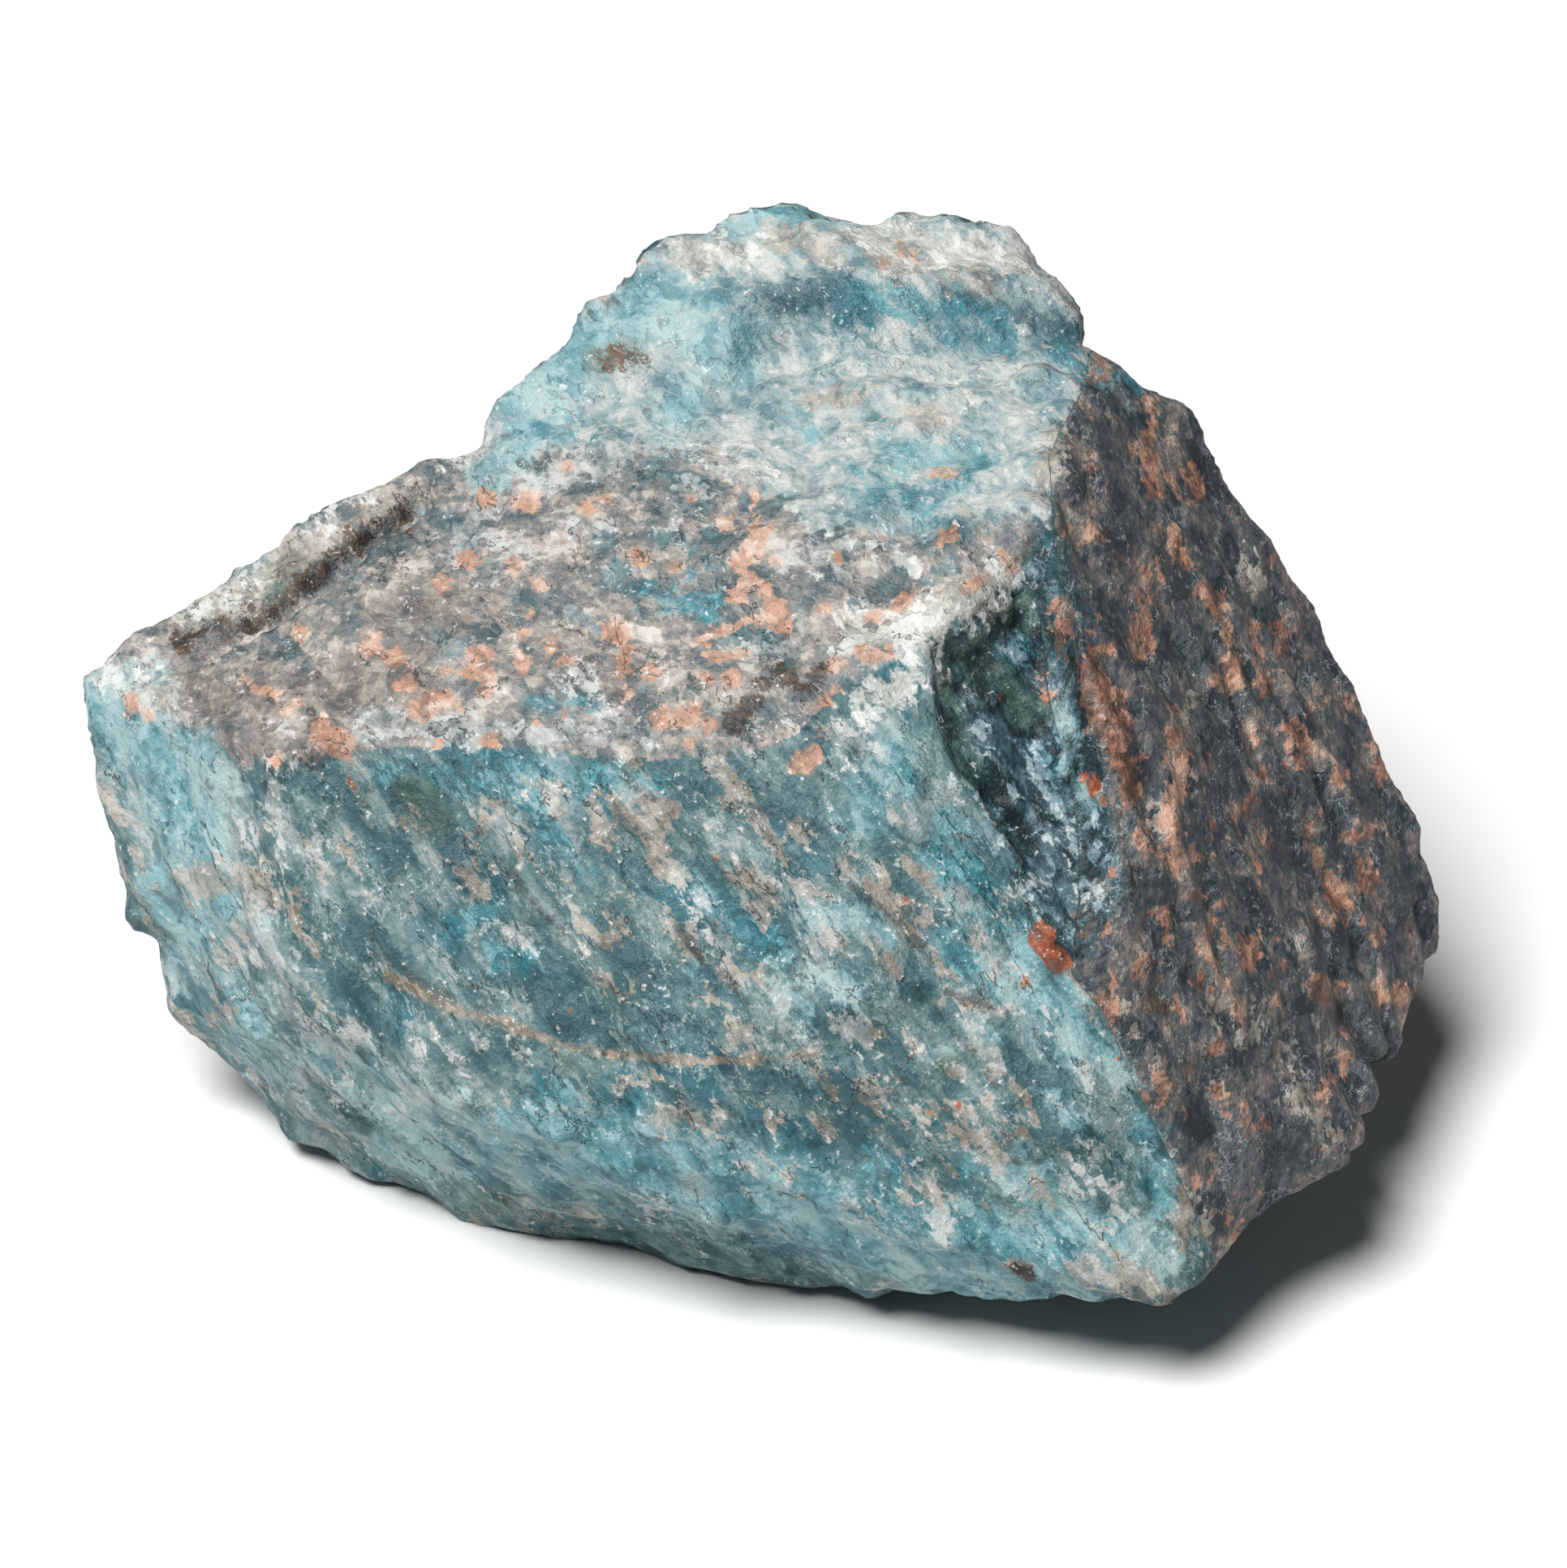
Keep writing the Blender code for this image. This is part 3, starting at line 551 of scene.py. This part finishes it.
        (6, (1232, 862)), (5, (1260, 1212)), (6, (1340, 1260)), (3.5, (1378, 1303)), (3.5, (425, 935)),
        (2.5, (440, 968)), (2.5, (540, 1058)), (4.5, (693, 1062)), (3, (1185, 1366)),
        (3.5, (1179, 1358)), (3, (1195, 1236)), (4, (1118, 1106)), (4, (885, 1055)), (3, (700, 1242)),
        (4, (1145, 1372)),
    ),
    "umber": (
        (14, (897, 893), (930, 866)), (11, (940, 842), (975, 830)), (9, (985, 852), (1010, 836)),
        (8, (1015, 830)), (12, (225, 792), (250, 783), (280, 770), (302, 776)),
        (15, (322, 765), (348, 742)), (13, (360, 725), (395, 712), (402, 698)),
        (11, (428, 672), (448, 655)), (8, (470, 640)), (10, (495, 622), (502, 650)),
        (15, (750, 444), (775, 440)), (6, (1342, 1118), (1330, 1122)), (6, (790, 938)),
        (9, (1420, 1235), (1426, 1250)), (7, (1264, 1570)), (5, (1300, 790), (1296, 770)),
        (5, (1350, 1130), (1340, 1140)),
    ),
    "brown": (
        (15, (1065, 318), (1150, 326), (1225, 345)), (46, (250, 850), (380, 868), (500, 822)),
        (38, (300, 905), (430, 905)), (30, (480, 760), (600, 740)), (26, (700, 800), (760, 850)),
    ),
    "crack": (
        (4.5, (768, 955), (786, 975), (800, 985)), (4.5, (905, 995), (940, 1000), (980, 1010)),
        (4, (1050, 1095), (1100, 1130), (1142, 1172)), (4, (1120, 1155), (1150, 1186)),
        (4, (1165, 1222), (1200, 1235), (1225, 1245)), (4, (1230, 1185), (1252, 1212)),
        (5, (1236, 1395), (1246, 1415), (1254, 1432)), (4, (745, 935)), (4, (470, 922)),
        (4, (1040, 1160), (1100, 1200), (1170, 1262), (1230, 1340)),
        (4, (835, 1140), (870, 1190), (930, 1240)), (4, (590, 1020), (640, 1090), (690, 1150)),
        (4, (430, 1130), (490, 1190), (560, 1232)),
        (4, (1300, 640), (1312, 720), (1328, 800), (1350, 900), (1378, 1000), (1392, 1090)),
    ),
    "slate": (
        (18, (1385, 610), (1375, 690)), (20, (1445, 650), (1455, 740)), (18, (1420, 780), (1440, 850)),
        (20, (1500, 880), (1505, 960)), (22, (1575, 1000), (1590, 1060)),
        (26, (1660, 1250), (1690, 1310)), (20, (1520, 1390), (1530, 1450)),
        (18, (1420, 1080), (1435, 1120)), (18, (1560, 1120)), (18, (1620, 1150), (1640, 1180)),
        (16, (1400, 920), (1405, 960)), (16, (1460, 1180), (1440, 1210)),
        (18, (1600, 1400), (1580, 1440)), (16, (1540, 860)), (18, (1480, 560), (1500, 620)),
        (16, (1720, 1080), (1735, 1130)), (16, (1450, 1290), (1470, 1330)),
    ),
    "tint": (
        (62, (820, 1440), (1000, 1492), (1180, 1548), (1330, 1562)),
        (40, (500, 1400), (620, 1420), (760, 1440)), (34, (1262, 1218), (1340, 1290)),
        (46, (175, 925), (225, 1010), (250, 1130)), (28, (640, 950), (760, 985)),
        (34, (120, 870), (240, 925)), (30, (1060, 1010), (1110, 920)), (34, (230, 1180), (330, 1300)),
        (34, (660, 500), (720, 430), (800, 380)), (24, (920, 280), (1020, 280)),
    ),
    "olive": (
        (13, (1166, 805), (1172, 880), (1194, 952)), (10, (330, 735), (362, 700)),
        (20, (1180, 792), (1200, 830)), (18, (1215, 782), (1255, 760)), (22, (1230, 832), (1265, 875)),
        (16, (1285, 880)), (13, (1265, 738)), (24, (508, 975), (530, 1012)),
        (12, (735, 1330), (700, 1310)), (20, (740, 445), (772, 438)), (14, (622, 1482), (600, 1475)),
        (14, (1170, 1312)), (9, (450, 985)), (12, (1120, 780), (1060, 800)),
    ),
    "ice": (
        (9, (1275, 945), (1292, 960)), (11, (1305, 985), (1315, 992)), (9, (1285, 1020), (1300, 1030)),
        (6, (1250, 972)), (5, (1340, 1015)), (9, (1345, 1045), (1356, 1060)),
        (7, (1262, 1090), (1290, 1084)), (6, (1270, 1104)), (11, (1340, 1095), (1350, 1110)),
        (7, (1210, 985), (1226, 1002)), (7, (1175, 965), (1190, 990)), (7, (1228, 1042)),
        (8, (1285, 912)), (10, (1245, 790), (1256, 812)), (5, (1225, 925), (1240, 960)),
        (5, (1200, 890), (1212, 905)), (5, (1230, 1025)), (6, (1320, 1040)),
    ),
    "vein": (
        (7, (475, 1205), (520, 1225), (560, 1242), (620, 1262)),
        (6, (620, 1262), (700, 1290), (760, 1300)),
        (5, (760, 1300), (860, 1306), (940, 1304), (1012, 1297)),
    ),
}


def drawn(marks):
    """How far inside the nearest mark each seen point lies, in millimetres."""
    best = np.full(count, -DEEPEST)
    for radius, *line in marks:
        if len(line) == 1:
            line = line * 2
        for (ax, ay), (bx, by) in zip(line, line[1:]):
            span = max((bx - ax) ** 2 + (by - ay) ** 2, 1)
            along = ((photo_x - ax) * (bx - ax) + (photo_y - ay) * (by - ay)) / span
            along = np.clip(along, 0, 1)
            gap = np.hypot(photo_x - ax - along * (bx - ax), photo_y - ay - along * (by - ay))
            best = np.maximum(best, (radius - gap) / PIXELS_PER_MM)
    return np.where(seen, best, -DEEPEST)


for name, marks in MARKS.items():
    keep(name, np.clip(drawn(marks), -DEEPEST, DEEPEST))

bpy.ops.object.shade_smooth()

# Its finish: blue-green apatite grains with cream and pale ones between them, a brown-pink crust
# on the top and the right face, and dark glassy rock in the chip. Patterns in the stone's own
# space colour every side of it, and the marks lie over them.


class Wire:
    """A shader socket that can be used in sums. Plain numbers may stand on either side."""

    def __init__(self, tree, socket):
        self.tree = tree
        self.socket = socket

    def node(self, kind, settings, inputs, output=0):
        """Add a node: its type, its settings, and the values or wires of its sockets."""
        made = self.tree.nodes.new(kind)
        for name, value in settings.items():
            if name == "stops":
                ramp_data = made.color_ramp
                while len(ramp_data.elements) < len(value):
                    ramp_data.elements.new(1.0)
                for element, (position, colour) in zip(ramp_data.elements, value):
                    element.position = position
                    element.color = colour
            else:
                setattr(made, name, value)
        for name, value in inputs.items():
            if isinstance(value, Wire):
                self.tree.links.new(value.socket, made.inputs[name])
            else:
                made.inputs[name].default_value = value
        return Wire(self.tree, made.outputs[output])

    def maths(self, operation, *values):
        return self.node("ShaderNodeMath", {"operation": operation}, dict(enumerate(values)))

    def __add__(self, other):
        return self.maths("ADD", self, other)

    __radd__ = __add__

    def __sub__(self, other):
        return self.maths("SUBTRACT", self, other)

    def __rsub__(self, other):
        return self.maths("SUBTRACT", other, self)

    def __mul__(self, other):
        return self.maths("MULTIPLY", self, other)

    __rmul__ = __mul__

    def __truediv__(self, other):
        return self.maths("DIVIDE", self, other)

    def __rtruediv__(self, other):
        return self.maths("DIVIDE", other, self)

    def away(self):
        return self.maths("ABSOLUTE", self)

    def rise(self, low, high):
        """0 below low, 1 above high, with a smooth climb between."""
        return self.node(
            "ShaderNodeMapRange", {"interpolation_type": "SMOOTHSTEP"},
            {"Value": self, "From Min": low, "From Max": high},
        )

    def along(self, axis):
        settings = {"operation": "DOT_PRODUCT"}
        return self.node("ShaderNodeVectorMath", settings, {0: self, 1: axis}, "Value")

    def moved(self, x, y, z):
        """The same texture space moved along, so that the next pattern doesn't follow the last."""
        return self.node("ShaderNodeVectorMath", {"operation": "ADD"}, {0: self, 1: (x, y, z)})

    def noise(self, scale, detail, rough, bend=0.0):
        return self.node(
            "ShaderNodeTexNoise", {"noise_dimensions": "3D"},
            {"Vector": self, "Scale": scale, "Detail": detail, "Roughness": rough, "Distortion": bend},
        )

    def cells(self, scale):
        """Grains that meet without gaps, each a grey of its own: the product makes the colour grey."""
        inputs = {"Vector": self, "Scale": scale}
        return self.node("ShaderNodeTexVoronoi", {"feature": "F1"}, inputs, "Color") * 1.0

    def over(self, base, colour):
        """Lay a colour over another where this mask is 1."""
        settings = {"data_type": "RGBA", "clamp_factor": True}
        return self.node("ShaderNodeMix", settings, {0: self, 6: base, 7: colour}, 2)


def shade(hex_colour, light):
    """The stone's own colour for one that the picture shows, where a face is lit by that light."""
    parts = [int(hex_colour[index:index + 2], 16) / 255 for index in (0, 2, 4)]
    linear = [part / 12.92 if part <= 0.04045 else ((part + 0.055) / 1.055) ** 2.4 for part in parts]
    return (*[min(part * light, 1.0) for part in linear], 1.0)


def palette(value, light, *stops):
    """Colours that follow each other as the value rises."""
    stops = [(position, shade(colour, light)) for position, colour in stops]
    return value.node("ShaderNodeValToRGB", {"stops": stops}, {"Fac": value})


material = bpy.data.materials.new("blue_green_apatite")
material.use_nodes = True
nodes = material.node_tree
shader = nodes.nodes["Principled BSDF"]
start = Wire(nodes, None)
metres = start.node("ShaderNodeTexCoord", {}, {}, "Object")
place = start.node("ShaderNodeVectorMath", {"operation": "SCALE"}, {0: metres, "Scale": 1 / MM})


def mark(name):
    return start.node("ShaderNodeAttribute", {"attribute_name": name}, {}, "Fac")


# The grains are drawn out down the front. On the dark right face they run up it, drawn out less.
STEEP = Vector((0.10, 0.83, 0.55)).normalized()
ACROSS_STEEP = STEEP.cross(Vector((0.0, 0.0, 1.0))).normalized()
FRONT_STRETCH, RIGHT_STRETCH = 2.3, 1.5
RIGHT_RIM = 0.02


def stretched(along, across, stretch):
    return start.node("ShaderNodeCombineXYZ", {}, {
        "X": place.along(along) / stretch,
        "Y": place.along(across),
        "Z": place.along(along.cross(across)),
    })


grain = mark("right").rise(-RIGHT_RIM, RIGHT_RIM).over(
    stretched(LINEATION, CROSS_GRAIN, FRONT_STRETCH), stretched(STEEP, ACROSS_STEEP, RIGHT_STRETCH),
)

# The patterns: their scale is in rounds per millimetre.
matrix = grain.noise(scale=0.50, detail=5.0, rough=0.62)
patches = grain.moved(31.0, 7.0, 3.0).noise(scale=0.33, detail=5.0, rough=0.62, bend=0.2)
film = grain.moved(5.0, 41.0, 13.0).noise(scale=0.55, detail=5.0, rough=0.66, bend=0.3)
crust = place.moved(9.0, 2.0, 6.0).noise(scale=0.42, detail=5.0, rough=0.66, bend=0.2)
crumble = grain.moved(17.0, 3.0, 29.0).noise(scale=1.1, detail=4.0, rough=0.70)
dust = place.noise(scale=2.6, detail=2.0, rough=0.70)
mosaic = grain.moved(3.0, 5.0, 7.0).cells(scale=0.95)
chips = grain.moved(8.0, 1.0, 4.0).cells(scale=2.4)

# How far the grains break up the rims of marks, and how they lighten and darken all colours.
CRUMBLE_RAG, DUST_RAG, CHIP_RAG = 1.7, 0.5, 0.25
MOSAIC_SPECKLE, CHIP_SPECKLE, DUST_SPECKLE = 0.22, 0.22, 0.35
WASH_RIM, WASH_LIFT = (-1.2, 2.8), 0.13
ragged = (crumble - MIDDLE) * CRUMBLE_RAG + (dust - MIDDLE) * DUST_RAG + (chips - MIDDLE) * CHIP_RAG
speckle = (mosaic - MIDDLE) * MOSAIC_SPECKLE + (chips - MIDDLE) * CHIP_SPECKLE
speckle = speckle + (dust - MIDDLE) * DUST_SPECKLE
lift = mark("wash").rise(*WASH_RIM) * WASH_LIFT
tone = matrix + speckle + lift
top_tone = crust + speckle + lift


def laid(name, spread, soft):
    """A face or a mark by its name, with a rim made ragged by the grains."""
    return (mark(name) + ragged * spread).rise(-soft, soft)


# The rock of each face: its palette, and the patches and spots in it that pass a level.
FRONT_LIGHT, TOP_LIGHT, RIGHT_LIGHT, CHIP_LIGHT = 0.575, 0.62, 1.0, 0.74
TEAL_PATCHES, GREY_FILM, GREY_STRENGTH = (0.425, 0.385), (0.59, 0.605), 0.7
CREAM_SPOTS, CREAM_FILM, CREAM_SPECKLE = (0.62, 0.635), 0.4, 0.3
TOP_PATCHES, TOP_PATCH_STRENGTH = (0.42, 0.38), 0.7
RUST_SPOTS, RUST_CRUST = (0.612, 0.632), 0.8

fresh = palette(
    tone, FRONT_LIGHT, (0.30, "39666d"), (0.42, "4f787d"), (0.50, "64898d"), (0.58, "7b9a9c"),
    (0.68, "9db3b4"), (0.80, "c6d1cf"),
)
teal = palette(tone, FRONT_LIGHT, (0.35, "215460"), (0.62, "4b8793"))
fresh = patches.rise(*TEAL_PATCHES).over(fresh, teal)
grey = palette(tone, FRONT_LIGHT, (0.38, "8a9f9f"), (0.62, "c3cbc8"))
fresh = (film.rise(*GREY_FILM) * GREY_STRENGTH).over(fresh, grey)
cream = palette(
    tone, FRONT_LIGHT, (0.34, "7d776b"), (0.46, "a09a8e"), (0.58, "bcb6ab"), (0.72, "dcd8d0"),
)
cream_spots = patches + (film - MIDDLE) * CREAM_FILM + speckle * CREAM_SPECKLE
fresh = cream_spots.rise(*CREAM_SPOTS).over(fresh, cream)

worn = palette(
    top_tone, TOP_LIGHT, (0.32, "58686c"), (0.42, "7a8283"), (0.50, "979591"), (0.58, "b8b0a8"),
    (0.68, "ded3c9"), (0.80, "f6eee7"),
)
worn_blue = palette(tone, TOP_LIGHT, (0.35, "3c626e"), (0.6, "86a7ae"))
worn = (patches.rise(*TOP_PATCHES) * TOP_PATCH_STRENGTH).over(worn, worn_blue)

pale_top = palette(
    tone, TOP_LIGHT, (0.32, "6f949c"), (0.42, "95b0b4"), (0.52, "b5c6c6"), (0.64, "d8dcd6"),
    (0.76, "f0f0ea"),
)

slate = palette(
    top_tone, RIGHT_LIGHT, (0.32, "242d33"), (0.42, "3a4449"), (0.50, "4c5153"), (0.58, "645f5c"),
    (0.68, "80756d"), (0.80, "a3968b"),
)
rust = palette(
    top_tone, RIGHT_LIGHT, (0.34, "57423a"), (0.48, "806051"), (0.60, "a47d69"), (0.74, "c8a48f"),
)
slate = (film + (crust - MIDDLE) * RUST_CRUST).rise(*RUST_SPOTS).over(slate, rust)

glassy = palette(
    tone, CHIP_LIGHT, (0.32, "17282d"), (0.44, "29424a"), (0.52, "3a5761"), (0.60, "57747d"),
    (0.72, "90adb4"),
)

# Each face by its name, how ragged and how soft its border is, and its rock.
FACES = (
    ("top", 0.6, 0.06, worn),
    ("crown", 2.6, 0.50, pale_top),
    ("right", 1.0, 0.10, slate),
    ("chip", 0.5, 0.10, glassy),
)
colour = fresh
for name, spread, soft, rock in FACES:
    colour = laid(name, spread, soft).over(colour, rock)

# Each kind of mark: how ragged and how soft its rim is, its strength, the light on it, and its
# colours from its dark grains to its light ones.
LAYERS = (
    ("deep", 2.4, 0.30, 0.80, 0.58, ((0.35, "20535d"), (0.50, "396e78"), (0.65, "629098"))),
    ("cyan", 2.6, 0.35, 0.75, 0.58, ((0.35, "247b8d"), (0.50, "439baa"), (0.65, "80c2ca"))),
    ("pale", 2.4, 0.35, 0.75, 0.60, ((0.35, "78b1b9"), (0.50, "9dcacf"), (0.65, "c6e1e1"))),
    ("tint", 1.4, 0.80, 0.50, 0.60, ((0.35, "4c98a8"), (0.50, "74b8c4"), (0.65, "abd8dd"))),
    ("olive", 1.3, 0.45, 0.90, 0.68, ((0.35, "35524b"), (0.50, "4b6b62"), (0.65, "6f897d"))),
    ("brown", 2.6, 0.40, 0.75, 0.60,
     ((0.34, "6b625e"), (0.46, "897f79"), (0.58, "a89d95"), (0.72, "cdc3ba"))),
    # Pale clouding, with the painted highlights along the top's front edge and on the lower front.
    ("haze", 2.8, 0.14, 0.75, 0.60, ((0.35, "98a2a1"), (0.50, "bcc3c0"), (0.65, "e6e9e6"))),
    ("cream", 2.4, 0.10, 0.80, 0.60,
     ((0.34, "857d70"), (0.46, "a8a094"), (0.58, "c3bdb1"), (0.72, "e2ded6"))),
    ("bright", 3.0, 0.30, 0.85, 0.66,
     ((0.34, "aaada5"), (0.46, "c6c9c1"), (0.58, "dfe1da"), (0.72, "f6f7f2"))),
    ("vein", 0.6, 0.12, 0.75, 0.60, ((0.36, "93795f"), (0.50, "b09a82"), (0.65, "cfc0ae"))),
    ("salmon", 0.9, 0.10, 0.90, 0.62,
     ((0.34, "b58870"), (0.46, "d29f84"), (0.58, "e6b99f"), (0.72, "f8dccb"))),
    ("slate", 2.0, 0.20, 0.85, 1.00, ((0.35, "20272b"), (0.50, "343c40"), (0.65, "51585b"))),
    ("rust", 1.4, 0.14, 0.90, 0.90,
     ((0.34, "5b4036"), (0.48, "8a604f"), (0.60, "ae7f68"), (0.74, "d0a78f"))),
    ("ember", 0.7, 0.06, 1.00, 0.74, ((0.36, "87452a"), (0.50, "b0623e"), (0.65, "d08e66"))),
    ("umber", 1.6, 0.12, 0.90, 0.60, ((0.36, "29231d"), (0.50, "4b3c30"), (0.65, "7e6857"))),
    ("crack", 0.8, 0.12, 0.75, 0.60, ((0.36, "26302f"), (0.50, "3c4745"), (0.65, "5b6562"))),
    ("ice", 1.6, 0.08, 0.66, 0.70,
     ((0.34, "5f8390"), (0.46, "8fabb5"), (0.58, "c9d8dc"), (0.70, "f4f8f8"))),
)
CHIP_BREAK, LEAST_BREAK = 0.6, 0.65
broken = chips * CHIP_BREAK + LEAST_BREAK
for name, spread, soft, strength, light, stops in LAYERS:
    colour = (laid(name, spread, soft) * broken * strength).over(colour, palette(tone, light, *stops))

# Dark hair cracks and pale threads follow one level of a pattern, and the glassy grains get painted
# highlights: near-white glint spots laid into the colour.
CRACK_LEVEL, CRACK_WIDTH, CRACK_PARTS = 0.47, (0.002, 0.009), (0.48, 0.56)
CRACK_STRENGTH, CROWN_SPARED = 0.7, 0.55
THREAD_LEVEL, THREAD_WIDTH, THREAD_PARTS = 0.53, (0.001, 0.010), (0.44, 0.52)
THREAD_STRENGTH = 0.55
GLINT_LEVEL, GLINT_CRUMBLE = (0.66, 0.71), 0.5
PAINTED_GLINT_STRENGTH, RIGHT_SPARED = 0.55, 0.35
FACE_RIM = 0.5
CRACK_COLOUR = shade("2a4048", 0.6)
THREAD_COLOUR = shade("dfe6e3", 0.62)
PAINTED_GLINT_COLOUR = shade("f0f4f2", 0.72)

cracks = 1.0 - (patches - CRACK_LEVEL).away().rise(*CRACK_WIDTH)
cracks = cracks * crumble.rise(*CRACK_PARTS)
crown_share = mark("crown").rise(-FACE_RIM, FACE_RIM)
colour = (cracks * (CRACK_STRENGTH - crown_share * CROWN_SPARED)).over(colour, CRACK_COLOUR)
threads = 1.0 - (film - THREAD_LEVEL).away().rise(*THREAD_WIDTH)
threads = threads * matrix.rise(*THREAD_PARTS)
colour = (threads * THREAD_STRENGTH).over(colour, THREAD_COLOUR)
# Painted highlights: where the grains would glint, near-white spots are laid over the colour, and the
# same spots are made less rough.
painted_glints_and_polish = (dust + (crumble - MIDDLE) * GLINT_CRUMBLE).rise(*GLINT_LEVEL)
right_share = mark("right").rise(-FACE_RIM, FACE_RIM)
colour = (painted_glints_and_polish * (PAINTED_GLINT_STRENGTH - right_share * RIGHT_SPARED)).over(colour, PAINTED_GLINT_COLOUR)
nodes.links.new(colour.socket, shader.inputs["Base Color"])

# Broken stone is dull, its glint spots are polished, and the finest relief, in millimetres, is a bump.
DULL, GLINT_POLISH, DULL_SPREAD = 0.60, 0.25, 0.4
CRUMBLE_RELIEF, DUST_RELIEF, CHIP_RELIEF, CRACK_RELIEF = 0.32, 0.18, 0.06, 0.10
BUMP_STRENGTH = 0.75
STONE_IOR = 1.45
roughness = DULL - painted_glints_and_polish * GLINT_POLISH + (matrix - MIDDLE) * DULL_SPREAD
nodes.links.new(roughness.socket, shader.inputs["Roughness"])
relief = crumble * CRUMBLE_RELIEF + dust * DUST_RELIEF + (chips - MIDDLE) * CHIP_RELIEF
relief = relief - cracks * CRACK_RELIEF
bump = start.node("ShaderNodeBump", {}, {"Strength": BUMP_STRENGTH, "Distance": MM, "Height": relief})
nodes.links.new(bump.socket, shader.inputs["Normal"])
shader.inputs["IOR"].default_value = STONE_IOR

stone.data.materials.append(material)
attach(stone, "root")
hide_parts("apatite_stone")

# The table: a plain pale top of matt board, on which the stone lies loose. It runs on out of the
# picture on every side.
TABLE_SIZE = 5.0
TABLE_PAINT = (0.80, 0.80, 0.80, 1.0)
TABLE_ROUGHNESS = 0.7

bpy.ops.mesh.primitive_plane_add(size=TABLE_SIZE, location=(0.0, 0.0, 0.0))
floor = bpy.context.object
floor.name = "pale_table"
floor_paint = bpy.data.materials.new("pale_table")
floor_paint.use_nodes = True
floor_shader = floor_paint.node_tree.nodes["Principled BSDF"]
floor_shader.inputs["Base Color"].default_value = TABLE_PAINT
floor_shader.inputs["Roughness"].default_value = TABLE_ROUGHNESS
floor.data.materials.append(floor_paint)

# The light: one large soft lamp above the stone, to its left and in front, in a plain dim room.
# The lamp is a round panel, and its width makes the rims of the shadow soft.
ROOM_LIGHT = 0.05
ROOM_COLOUR = (1.0, 1.0, 1.0, 1.0)
LAMP_DISTANCE = 1.5
LAMP_PLACE = Vector((-0.34, -0.31, 1.0)).normalized() * LAMP_DISTANCE
LAMP_SIZE = 0.78
LAMP_POWER = 36.0

lamp_data = bpy.data.lights.new("soft_lamp", "AREA")
lamp_data.shape = "DISK"
lamp_data.size = LAMP_SIZE
lamp_data.energy = LAMP_POWER
lamp = bpy.data.objects.new("soft_lamp", lamp_data)
lamp.location = LAMP_PLACE
lamp.rotation_euler = (-LAMP_PLACE).to_track_quat("-Z", "Y").to_euler()
bpy.context.scene.collection.objects.link(lamp)

room = bpy.data.worlds.new("plain_room")
room.use_nodes = True
background = room.node_tree.nodes["Background"]
background.inputs["Color"].default_value = ROOM_COLOUR
background.inputs["Strength"].default_value = ROOM_LIGHT
bpy.context.scene.world = room
bpy.context.scene.view_settings.view_transform = "Standard"
